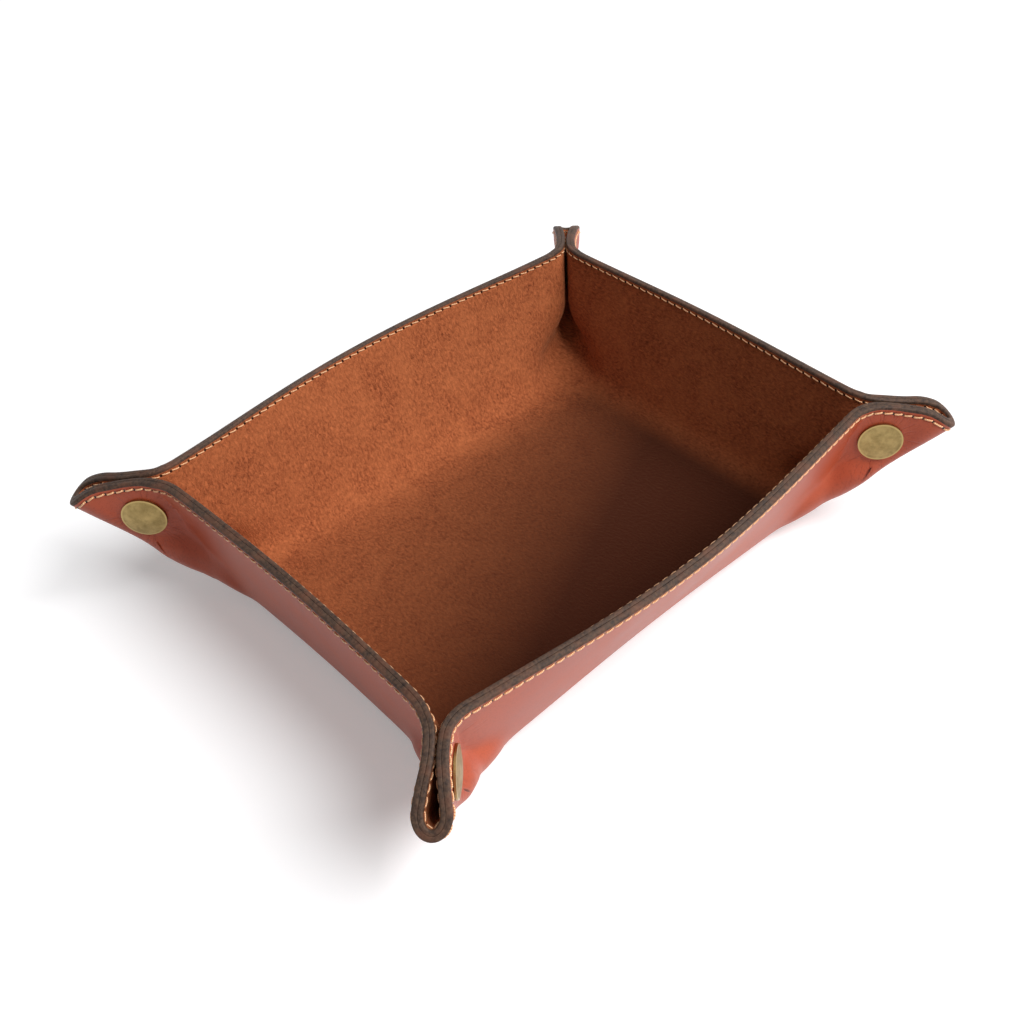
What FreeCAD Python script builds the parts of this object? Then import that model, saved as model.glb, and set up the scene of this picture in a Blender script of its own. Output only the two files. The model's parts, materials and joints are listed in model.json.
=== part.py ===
import FreeCAD, Part
import math
import os

# A snap-corner valet tray: one flat sheet of leather, lined with suede, whose four corners are
# pinched into ears and held by press studs. The walls lean out, bow a little and meet in the ears.
# Millimetres and degrees. X runs along the long side, Y along the short side, Z is up, and the
# origin is the middle of the underside.

# Driving dimensions of the flat sheet
SHEET_LENGTH = 258.0
SHEET_WIDTH = 214.0
CORNER_RADIUS = 20.0
LEATHER = 1.8
LINING = 1.45
GLUE_LINE = 0.05

# Driving dimensions of the folded tray, taken on the suede face
WALL_DEPTH = 48.5
WALL_LEAN = 76.0
LONG_WALL_BOW = 14.0
BOW_END = 17.5
BASE_BEND_REACH = 7.0
EAR_BEND_RADIUS = 18.0
EAR_LOOP_RADIUS = 3.6
EAR_PINCH_GAP = 0.3
VERTEX_REACH = 22.0
VERTEX_SOFTNESS = 8.0

# Where the sheet is split into panels, and the room left between panels that turn.
# The leather is the outer layer of the bend at the base, so it needs more room to turn there.
PANEL_GAP = 0.3
BASE_GAP = {"lining": 0.5, "leather": 1.3}
VERTEX_GAP = {"lining": 0.6, "leather": 1.4}
EAR_START = 6.0
EAR_RIDGE_START = 13.0

# Press studs: place in the sheet, and sizes
SNAP_FROM_END = 29.3
SNAP_FROM_RIM = 13.8
SNAP_FLAT_RADIUS = 9.0
SNAP_FADE_RADIUS = 13.0
SNAP_FACE_GAP = 1.2
RECESS_DEPTH = 0.9
RECESS_RADIUS = 6.3
CAP_RADIUS = 7.5
CAP_RISE = 1.6
CAP_METAL = 0.45
CAP_RIM_HEIGHT = 0.7
POST_RADIUS = 1.85
POST_BORE = 1.3
POST_CLEARANCE = 0.15
SEAT_CLEARANCE = 0.15
SOCKET_RADIUS = 5.8
SOCKET_HEIGHT = 2.0
SOCKET_MOUTH = 2.6
SOCKET_ROOF = 0.7
SOCKET_STEP = 0.8
STUD_RADIUS = 5.2
STUD_METAL = 0.5
STUD_KNOB_RADIUS = 2.15
STUD_KNOB_NECK = 1.9
STUD_KNOB_RISE = 1.45
EYELET_RADIUS = 5.0
EYELET_RISE = 0.8
EYELET_BORE = 1.0

THICKNESS = LEATHER + GLUE_LINE + LINING
HALF_LENGTH = SHEET_LENGTH / 2
HALF_WIDTH = SHEET_WIDTH / 2
FOLD_X = HALF_LENGTH - WALL_DEPTH
FOLD_Y = HALF_WIDTH - WALL_DEPTH

X_AXIS = FreeCAD.Vector(1, 0, 0)
Y_AXIS = FreeCAD.Vector(0, 1, 0)
Z_AXIS = FreeCAD.Vector(0, 0, 1)
ACROSS_EAR = FreeCAD.Vector(1, -1, 0).normalize()

# Every corner and wall by name, with the signs that mirror the back right one onto it
CORNERS = {
    "front_left": (-1, -1),
    "front_right": (1, -1),
    "back_left": (-1, 1),
    "back_right": (1, 1),
}
# The side of each ear that carries the visible cap; the other side carries the stud
CAP_SIDE = {
    "front_left": "long",
    "front_right": "long",
    "back_left": "short",
    "back_right": "short",
}


def turned(vector, axis, angle):
    """The vector turned about an axis through the origin, angle in radians."""
    return FreeCAD.Rotation(axis, math.degrees(angle)).multVec(vector)


def bent(frame, opening, arc, side):
    """Carry a frame (ray, heading, normal) round a cone: opening is the cone's half angle."""
    ray, heading, normal = frame
    axis = ray * math.cos(opening) + normal * (side * math.sin(opening))
    angle = side * arc / math.sin(opening)
    return tuple(turned(vector, axis, angle) for vector in frame)


def carried(frame, angle):
    """Carry a frame across a flat stretch that fans out by the angle."""
    normal = frame[2]
    return tuple(turned(vector, normal, angle) for vector in frame)


def solve_linear(rows, right):
    """Gauss elimination with pivoting for a small square system."""
    size = len(right)
    table = [list(row) + [value] for row, value in zip(rows, right)]
    for column in range(size):
        best = max(range(column, size), key=lambda row: abs(table[row][column]))
        table[column], table[best] = table[best], table[column]
        for row in range(column + 1, size):
            factor = table[row][column] / table[column][column]
            for entry in range(column, size + 1):
                table[row][entry] -= factor * table[column][entry]
    result = [0.0] * size
    for row in reversed(range(size)):
        known = sum(table[row][entry] * result[entry] for entry in range(row + 1, size))
        result[row] = (table[row][size] - known) / table[row][row]
    return result


def solve(equations, guess):
    """Newton's method with slopes from small steps."""
    step = 1e-6
    values = list(guess)
    for _ in range(60):
        errors = equations(values)
        if max(abs(error) for error in errors) < 1e-10:
            break
        columns = []
        for index in range(len(values)):
            moved = list(values)
            moved[index] += step
            columns.append([(b - a) / step for a, b in zip(errors, equations(moved))])
        slopes = [list(row) for row in zip(*columns)]
        change = solve_linear(slopes, [-error for error in errors])
        damping = min(1.0, 0.1 / max(abs(value) for value in change))
        values = [value + damping * delta for value, delta in zip(values, change)]
    return values


class EarFold:
    """How the sheet runs round one half of a corner, as rays fanning out from the base corner.

    The rays start in the wall, bend outward until the suede touches its mirror image, spread
    again, run flat, and turn through the loop into the mirror plane of the ear. All of it is
    made of flat and conical stretches, so the sheet is bent and never stretched.
    """

    def __init__(self, lean):
        wall_ray = math.atan(math.cos(lean))
        touch_distance = WALL_DEPTH / math.cos(wall_ray)
        tip_distance = (WALL_DEPTH - CORNER_RADIUS) * math.sqrt(2) + CORNER_RADIUS
        self.up_wall = Y_AXIS * math.cos(lean) + Z_AXIS * math.sin(lean)
        self.bend = math.asin(EAR_BEND_RADIUS / touch_distance)
        self.loop = math.asin(EAR_LOOP_RADIUS / tip_distance)
        self.half_gap = EAR_PINCH_GAP / 2 / touch_distance
        guess = [wall_ray - 0.17, 0.33, 0.05, 0.2, 0.1]
        self.arcs = solve(self.closing_errors, guess)
        self.frames, _ = self.chain(self.arcs)
        bend_start = self.arcs[0]
        bend_end = bend_start + self.arcs[1] + self.arcs[2]
        self.stops = [bend_start, bend_end, bend_end + self.arcs[3]]
        self.crease = (bend_start + bend_end) / 2
        self.loop_middle = (self.stops[2] + math.pi / 4) / 2
        self.loop_spread = -self.frames[2][0].dot(ACROSS_EAR)

    def wall_frame(self, angle):
        """Frame of a ray that lies in the flat wall, its normal pointing out of the tray."""
        ray = X_AXIS * math.sin(angle) + self.up_wall * math.cos(angle)
        heading = X_AXIS * math.cos(angle) - self.up_wall * math.sin(angle)
        return ray, heading, ray.cross(heading)

    def chain(self, arcs):
        """Frames at the end of each stretch, and the frame where the suede faces touch."""
        start = self.wall_frame(arcs[0])
        touch = bent(start, self.bend, arcs[1], 1)
        spread = bent(start, self.bend, arcs[1] + arcs[2], 1)
        loop_start = carried(spread, arcs[3])
        loop_end = bent(loop_start, self.loop, arcs[4], -1)
        return [start, spread, loop_start, loop_end], touch

    def closing_errors(self, arcs):
        """All zero when the two halves of the ear touch, and close smoothly at the loop."""
        frames, touch = self.chain(arcs)
        end_ray, end_heading, _ = frames[3]
        along_plane = ACROSS_EAR.cross(end_ray)
        return [
            touch[0].dot(ACROSS_EAR) + self.half_gap,
            touch[1].dot(ACROSS_EAR),
            end_ray.dot(ACROSS_EAR),
            end_heading.dot(along_plane),
            sum(arcs) - math.pi / 4,
        ]

    def ray(self, angle):
        """Unit direction in space of the ray at this angle from the wall's own direction."""
        if angle <= self.stops[0]:
            return self.wall_frame(angle)[0]
        if angle <= self.stops[1]:
            return bent(self.frames[0], self.bend, angle - self.stops[0], 1)[0]
        if angle <= self.stops[2]:
            return carried(self.frames[1], angle - self.stops[1])[0]
        return bent(self.frames[2], self.loop, angle - self.stops[2], -1)[0]


EAR = EarFold(math.radians(WALL_LEAN))


def smoothstep(value):
    """0 below 0, 1 above 1, and a smooth rise between."""
    value = min(max(value, 0.0), 1.0)
    return value * value * (3 - 2 * value)


def eased(distance):
    """Distance past a fold line, eased in over the reach of the bend."""
    reach = BASE_BEND_REACH
    if distance < -reach:
        return 0.0
    if distance > reach:
        return distance
    return (distance + reach) ** 2 / (4 * reach)


def bow_angle(past_corner, half_fold):
    """How far a long wall leans out more than at its ends, at this place along it."""
    share = min(max((past_corner + half_fold) / (half_fold + BOW_END), 0.0), 1.0)
    return math.radians(LONG_WALL_BOW) * (1 - share * share) ** 2


def folded(x, y):
    """Place of a sheet point on the suede face, for x and y of either sign."""
    sign_x = -1 if x < 0 else 1
    sign_y = -1 if y < 0 else 1
    past_x = abs(x) - FOLD_X
    past_y = abs(y) - FOLD_Y
    run_x = eased(past_x)
    run_y = eased(past_y)
    place = FreeCAD.Vector(abs(x) - run_x, abs(y) - run_y, THICKNESS)
    reach = math.hypot(run_x, run_y)
    if reach > 0:
        if run_y >= run_x:
            lift = EAR.ray(math.atan2(run_x, run_y)) * reach
            lift = turned(lift, X_AXIS, -bow_angle(past_x, FOLD_X))
        else:
            lift = EAR.ray(math.atan2(run_y, run_x)) * reach
            lift = FreeCAD.Vector(lift.y, lift.x, lift.z)
        place = place + lift
    return FreeCAD.Vector(place.x * sign_x, place.y * sign_y, place.z)


def suede_point(x, y):
    """The suede face, pressed flat and parallel to its partner where the press stud sits."""
    point = folded(x, y)
    end_x = HALF_LENGTH - abs(x)
    end_y = HALF_WIDTH - abs(y)
    from_end, from_rim = (end_x, end_y) if end_y < end_x else (end_y, end_x)
    distance = math.hypot(from_end - SNAP_FROM_END, from_rim - SNAP_FROM_RIM)
    if distance >= SNAP_FADE_RADIUS:
        return point
    fade = (distance - SNAP_FLAT_RADIUS) / (SNAP_FADE_RADIUS - SNAP_FLAT_RADIUS)
    press = 1 - smoothstep(fade)
    across = FreeCAD.Vector(math.copysign(1, x), -math.copysign(1, y), 0).normalize()
    base_corner = FreeCAD.Vector(math.copysign(FOLD_X, x), math.copysign(FOLD_Y, y), 0)
    offset = (point - base_corner).dot(across)
    along, out = WALL_DEPTH - from_end, WALL_DEPTH - from_rim
    if math.atan2(along, out) > EAR.stops[2]:
        loop_width = math.hypot(along, out) * EAR.loop_spread
        pressed = offset * SNAP_FACE_GAP / 2 / loop_width
    else:
        pressed = math.copysign(SNAP_FACE_GAP / 2, offset)
    return point + across * (press * (pressed - offset))


def face_and_normal(x, y):
    """Place of a sheet point on the suede face, and the unit normal on the suede's side."""
    step = 0.02
    place = suede_point(x, y)
    slope_x = suede_point(x + step, y) - place
    slope_y = suede_point(x, y + step) - place
    return place, slope_x.cross(slope_y).normalize()


def disc_samples():
    """Offsets and weights that average over a disc of radius 1."""
    rings, spokes = 5, 14
    samples = []
    for ring in range(rings):
        radius = (ring + 0.5) / rings
        for spoke in range(spokes):
            angle = 2 * math.pi * (spoke + ring / 2) / spokes
            weight = radius * (1 - radius ** 2)
            samples.append((radius * math.cos(angle), radius * math.sin(angle), weight))
    return samples


SOFTENING = disc_samples()
KNOWN_POINTS = {}


def softened(x, y):
    """Place and normal, averaged near a base corner, where thick leather rounds its folds."""
    key = (round(x, 6), round(y, 6))
    if key not in KNOWN_POINTS:
        distance = math.hypot(abs(x) - FOLD_X, abs(y) - FOLD_Y)
        radius = VERTEX_SOFTNESS * (1 - smoothstep(distance / VERTEX_REACH))
        if radius < 0.05:
            KNOWN_POINTS[key] = face_and_normal(x, y)
        else:
            place, normal, weights = FreeCAD.Vector(), FreeCAD.Vector(), 0.0
            for step_x, step_y, weight in SOFTENING:
                sample = face_and_normal(x + step_x * radius, y + step_y * radius)
                place = place + sample[0] * weight
                normal = normal + sample[1] * weight
                weights += weight
            KNOWN_POINTS[key] = (place / weights, normal / weights)
    return KNOWN_POINTS[key]


def sheet_point(x, y, depth):
    """A point below the suede face by the depth, square to the sheet."""
    place, normal = softened(x, y)
    return place - normal * depth


def lerp(start, end, share):
    """Point between two flat points."""
    return tuple(a + (b - a) * share for a, b in zip(start, end))


def rim_distance(angle):
    """Distance from the fold corner to the sheet's edge along a ray in the flat corner."""
    straight = WALL_DEPTH / math.cos(angle)
    centre = WALL_DEPTH - CORNER_RADIUS
    if straight * math.sin(angle) <= centre:
        return straight
    along = centre * (math.sin(angle) + math.cos(angle))
    return along + math.sqrt(CORNER_RADIUS ** 2 - 2 * centre ** 2 + along ** 2)


def flat_ray(angle, distance):
    """Flat point past the fold corner: distance out along a ray, measured from the wall."""
    return distance * math.sin(angle), distance * math.cos(angle)


def pole_shares(knots):
    """Where the poles of a cubic spline lie, so that it runs at an even pace over its knots."""
    padded = knots[:1] * 3 + knots + knots[-1:] * 3
    return [sum(padded[index + 1:index + 4]) / 3 for index in range(len(knots) + 2)]


def smooth_surface(poles, column_knots, row_knots):
    """Cubic surface drawn over a net of poles, which can't swing out between them."""
    column_repeats, row_repeats = (
        [4] + [1] * (len(knots) - 2) + [4] for knots in (column_knots, row_knots))
    surface = Part.BSplineSurface()
    surface.buildFromPolesMultsKnots(
        poles, column_repeats, row_repeats, column_knots, row_knots, False, False, 3, 3)
    return surface


def plate(place, column_knots, row_knots, top, bottom):
    """Solid between two depths of the sheet, over place(column, row) in the flat sheet."""
    columns, rows = pole_shares(column_knots), pole_shares(row_knots)
    faces = []
    for depth in (top, bottom):
        poles = [[sheet_point(*place(c, r), depth) for r in rows] for c in columns]
        faces.append(smooth_surface(poles, column_knots, row_knots).toShape())
    upper, lower = faces
    sides = [Part.makeRuledSurface(a, b) for a, b in zip(upper.Edges, lower.Edges)]
    shell = Part.Shell([upper, lower] + sides)
    shell.sewShape()
    solid = Part.Solid(shell)
    if solid.Volume < 0:
        solid.reverse()
    return solid


def even(count):
    """Shares from 0 to 1 in equal steps."""
    return [index / (count - 1) for index in range(count)]


def ends_crowded(count):
    """Shares from 0 to 1 that lie closer together near both ends."""
    return [(1 - math.cos(math.pi * share)) / 2 for share in even(count)]


def start_crowded(count):
    """Shares from 0 to 1 that lie closer together near the start."""
    return [share * (1 + share) / 2 for share in even(count)]


def wall_end(share):
    """Flat end line of a wall, past the fold corner, from the base up to the rim."""
    start = (-BASE_BEND_REACH, -BASE_BEND_REACH)
    end = (WALL_DEPTH * math.tan(EAR.crease), WALL_DEPTH)
    return lerp(start, end, share)


def ear_start():
    """Flat point on the wall's end line where the ear starts and the vertex piece ends."""
    return wall_end((EAR_START + BASE_BEND_REACH) / (WALL_DEPTH + BASE_BEND_REACH))


def swapped(place, side):
    """Sheet coordinates of a point past the fold corner, on the long or the short side."""
    along, out = place
    if side == "long":
        return FOLD_X + along, FOLD_Y + out
    return FOLD_X + out, FOLD_Y + along


def wall_place(side, layer):
    """Flat shape of a whole wall, from its bend at the base to the rim."""
    half_fold = FOLD_X if side == "long" else FOLD_Y
    low = BASE_GAP[layer] / (WALL_DEPTH + BASE_BEND_REACH)

    def place(column, row):
        end, out = wall_end(low + (1 - low) * row)
        along = (half_fold + end - PANEL_GAP / 2) * (2 * column - 1)
        return swapped((along - half_fold, out), side)

    return place


def ear_place(side, first_angle, last_angle, low_edge):
    """Flat shape of a panel of the ear between two rays, from a low edge to the rim."""
    inset = PANEL_GAP / 2

    def place(column, row):
        angle = first_angle + (last_angle - first_angle) * column
        point = lerp(low_edge(column), flat_ray(angle, rim_distance(angle)), row)
        nudge = inset * (1 - 2 * column)
        point = (point[0] + nudge * math.cos(angle), point[1] - nudge * math.sin(angle))
        return swapped(point, side)

    return place


def flap_place(side):
    """Flat shape of an ear flap, from the wall's end to the middle of the loop."""
    start = ear_start()
    ridge = flat_ray(EAR.loop_middle, EAR_RIDGE_START)
    return ear_place(side, EAR.crease, EAR.loop_middle, lambda column: lerp(start, ridge, column))


def tip_place(side):
    """Flat shape of half an ear tip, from the middle of the loop to the ear's mirror plane."""
    half_turn = math.pi / 4
    low = flat_ray(EAR.loop_middle, EAR_RIDGE_START)
    middle = flat_ray(half_turn, EAR_RIDGE_START)
    return ear_place(side, EAR.loop_middle, half_turn, lambda column: lerp(low, middle, column))


def vertex_place(layer):
    """Flat shape of the piece of sheet round the base corner: a kite between the four panels."""
    gap = VERTEX_GAP[layer]
    start = ear_start()
    near = (-BASE_BEND_REACH + gap, -BASE_BEND_REACH + gap)
    left = (start[0] + gap / 2, start[1] - gap)
    right = (left[1], left[0])
    far = flat_ray(math.pi / 4, EAR_RIDGE_START - gap)

    def place(column, row):
        point = lerp(lerp(near, left, row), lerp(right, far, row), column)
        return FOLD_X + point[0], FOLD_Y + point[1]

    return place


LAYERS = {
    "lining": (0.0, LINING),
    "leather": (LINING + GLUE_LINE, THICKNESS),
}


def mirrored(shape, signs):
    """The back right shape carried to another corner or wall."""
    result = shape.copy()
    if signs[0] < 0:
        result = result.mirror(FreeCAD.Vector(), X_AXIS)
    if signs[1] < 0:
        result = result.mirror(FreeCAD.Vector(), Y_AXIS)
    return result


def base_plate(top, bottom):
    """The flat of the base, between two depths below the suede face."""
    half_x = FOLD_X - BASE_BEND_REACH - PANEL_GAP / 2
    half_y = FOLD_Y - BASE_BEND_REACH - PANEL_GAP / 2
    corner = FreeCAD.Vector(-half_x, -half_y, THICKNESS - bottom)
    return Part.makeBox(2 * half_x, 2 * half_y, bottom - top, corner)


def snap_frame(side):
    """Centre of a press stud on the ear's mirror plane, and its axis towards one flap."""
    x, y = swapped((WALL_DEPTH - SNAP_FROM_END, WALL_DEPTH - SNAP_FROM_RIM), side)
    on_face = suede_point(x, y)
    axis = ACROSS_EAR * (-1 if side == "long" else 1)
    return on_face - axis * (SNAP_FACE_GAP / 2), axis


def lathe(profile, side):
    """Turn a closed profile of (radius, height) points about the press stud's axis."""
    centre, axis = snap_frame(side)
    points = [FreeCAD.Vector(radius, 0, height) for radius, height in profile]
    face = Part.Face(Part.makePolygon(points + [points[0]]))
    solid = face.revolve(FreeCAD.Vector(), Z_AXIS, 360)
    placement = FreeCAD.Placement(centre, FreeCAD.Rotation(Z_AXIS, axis))
    return solid.transformGeometry(placement.toMatrix())


def cylinder(radius, low, high, side):
    """Plain cylinder on the press stud's axis, for cutting holes."""
    return lathe([(0, low), (radius, low), (radius, high), (0, high)], side)


SUEDE_FACE = SNAP_FACE_GAP / 2
RECESS_FLOOR = SUEDE_FACE + RECESS_DEPTH
OUTER_FACE = SUEDE_FACE + THICKNESS
SOCKET_TOP = RECESS_FLOOR - SEAT_CLEARANCE / 2
SOCKET_LIP = SOCKET_TOP - SOCKET_HEIGHT
SOCKET_CEILING = SOCKET_TOP - SOCKET_ROOF


def cut_for_snap(panel, side):
    """Recess the suede and bore the sheet for one half of a press stud."""
    recess = cylinder(RECESS_RADIUS, -RECESS_FLOOR, RECESS_FLOOR, side)
    bore = cylinder(POST_RADIUS + POST_CLEARANCE, 0, OUTER_FACE + 2, side)
    return panel.cut(recess.fuse(bore))


def dome(radius, rise, height, count):
    """Profile points of a shallow dome, from the rim to the middle."""
    sphere = (radius ** 2 + rise ** 2) / (2 * rise)
    points = []
    for index in range(count):
        at = radius * (1 - index / (count - 1))
        drop = sphere - math.sqrt(sphere ** 2 - at ** 2)
        points.append((at, height + rise - drop))
    return points


def snap_cap(side):
    """Domed cap with a rolled rim and the hollow post that rivets it to the socket."""
    seat = OUTER_FACE + SEAT_CLEARANCE
    rim = seat + CAP_RIM_HEIGHT
    shell = dome(CAP_RADIUS, CAP_RISE - CAP_RIM_HEIGHT, rim, 8)
    inside = dome(CAP_RADIUS - CAP_METAL, CAP_RISE - CAP_RIM_HEIGHT - 0.1, rim - CAP_METAL + 0.1, 8)
    post_end = SOCKET_CEILING + STUD_METAL / 2
    profile = [(CAP_RADIUS, seat)] + shell
    profile += [(0, inside[-1][1]), (POST_BORE, inside[-1][1]), (POST_BORE, post_end)]
    profile += [(POST_RADIUS, post_end), (POST_RADIUS, inside[-3][1])]
    profile += [point for point in reversed(inside) if point[0] > POST_RADIUS + 0.3]
    profile += [(CAP_RADIUS - CAP_METAL, seat)]
    return lathe(profile, side)


def snap_socket(side):
    """Stepped socket ring with a mouth for the stud, riveted under the cap."""
    shoulder = SOCKET_RADIUS - SOCKET_STEP
    bore = POST_RADIUS + POST_CLEARANCE
    profile = [
        (bore, SOCKET_TOP), (SOCKET_RADIUS, SOCKET_TOP),
        (SOCKET_RADIUS, SOCKET_TOP - SOCKET_STEP), (shoulder, SOCKET_TOP - 2 * SOCKET_STEP),
        (shoulder - SOCKET_STEP / 2, SOCKET_LIP), (SOCKET_MOUTH, SOCKET_LIP),
        (SOCKET_MOUTH, SOCKET_CEILING), (bore, SOCKET_CEILING),
    ]
    return lathe(profile, side)


def snap_stud(side):
    """Stud with a waisted knob that snaps into the socket's mouth."""
    seat = RECESS_FLOOR - SEAT_CLEARANCE / 2
    top = seat - STUD_METAL
    knob = top - STUD_KNOB_RISE
    bore = EYELET_BORE + POST_CLEARANCE + STUD_METAL
    profile = [
        (bore, seat), (STUD_RADIUS, seat), (STUD_RADIUS, top), (STUD_KNOB_NECK, top),
        (STUD_KNOB_RADIUS, (top + knob) / 2), (STUD_KNOB_NECK, knob), (0, knob),
        (0, knob + STUD_METAL), (bore, knob + STUD_METAL),
    ]
    return lathe(profile, side)


def snap_eyelet(side):
    """Rivet on the outside of the stud's flap: a low round head and a barrel."""
    seat = OUTER_FACE + SEAT_CLEARANCE
    barrel = EYELET_BORE + STUD_METAL
    end = RECESS_FLOOR - 2 * STUD_METAL
    head = dome(EYELET_RADIUS, EYELET_RISE - STUD_METAL / 2, seat + STUD_METAL / 2, 6)
    profile = [(EYELET_RADIUS, seat)] + head
    profile += [(0, end), (barrel, end), (barrel, seat)]
    return lathe(profile, side)


def wall_nodes():
    """The four walls, each with its leather and its lining."""
    sides = {"back": ("long", (1, 1)), "front": ("long", (1, -1)),
             "right": ("short", (1, 1)), "left": ("short", (-1, 1))}
    nodes = {}
    for layer, (top, bottom) in LAYERS.items():
        whole = {side: plate(wall_place(side, layer), ends_crowded(12), start_crowded(9), top, bottom)
                 for side in ("long", "short")}
        for name, (side, signs) in sides.items():
            nodes[f"wall_{name}_{layer}"] = mirrored(whole[side], signs)
    return nodes


def ear_nodes():
    """Flaps and tips of the four ears, with the holes and recesses for the press studs."""
    nodes = {}
    for side in ("long", "short"):
        for layer, (top, bottom) in LAYERS.items():
            flap = plate(flap_place(side), even(11), even(11), top, bottom)
            flap = cut_for_snap(flap, side)
            tip = plate(tip_place(side), even(2), even(11), top, bottom)
            for corner, signs in CORNERS.items():
                nodes[f"ear_{corner}_{side}_{layer}"] = mirrored(flap, signs)
                nodes[f"tip_{corner}_{side}_{layer}"] = mirrored(tip, signs)
    return nodes


def base_nodes():
    """The base, and the four vertex pieces that belong to its corners."""
    nodes = {}
    for layer, (top, bottom) in LAYERS.items():
        vertex = plate(vertex_place(layer), even(5), even(5), top, bottom)
        pieces = [base_plate(top, bottom)]
        pieces += [mirrored(vertex, signs) for signs in CORNERS.values()]
        nodes[f"base_{layer}"] = Part.makeCompound(pieces)
    return nodes


def snap_nodes():
    """Four press studs, each of a cap, a socket, a stud and an eyelet."""
    makers = {"cap": snap_cap, "socket": snap_socket, "stud": snap_stud, "eyelet": snap_eyelet}
    nodes = {}
    for corner, signs in CORNERS.items():
        cap_side = CAP_SIDE[corner]
        stud_side = "short" if cap_side == "long" else "long"
        for part, maker in makers.items():
            side = cap_side if part in ("cap", "socket") else stud_side
            nodes[f"snap_{corner}_{part}"] = mirrored(maker(side), signs)
    return nodes


def main():
    """Write one STEP file for each piece."""
    os.makedirs("parts", exist_ok=True)
    nodes = {}
    for group in (base_nodes, wall_nodes, ear_nodes, snap_nodes):
        nodes.update(group())
    for name, shape in nodes.items():
        if not shape.isValid():
            print("not valid:", name)
        shape.exportStep(f"parts/{name}.step")
    print(len(nodes), "nodes")


main()
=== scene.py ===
# %% [markdown]
# # A snap-corner valet tray
#
# The real tray is one flat sheet of leather, lined with suede and sewn round its edge. Its four
# corners are pinched into ears, and a press stud holds each ear. No corner is slit or stretched,
# so the whole shape follows from how a flat sheet can bend.
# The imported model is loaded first. It fixes every size and every body that moves.

import json
import math
from functools import partial

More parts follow.
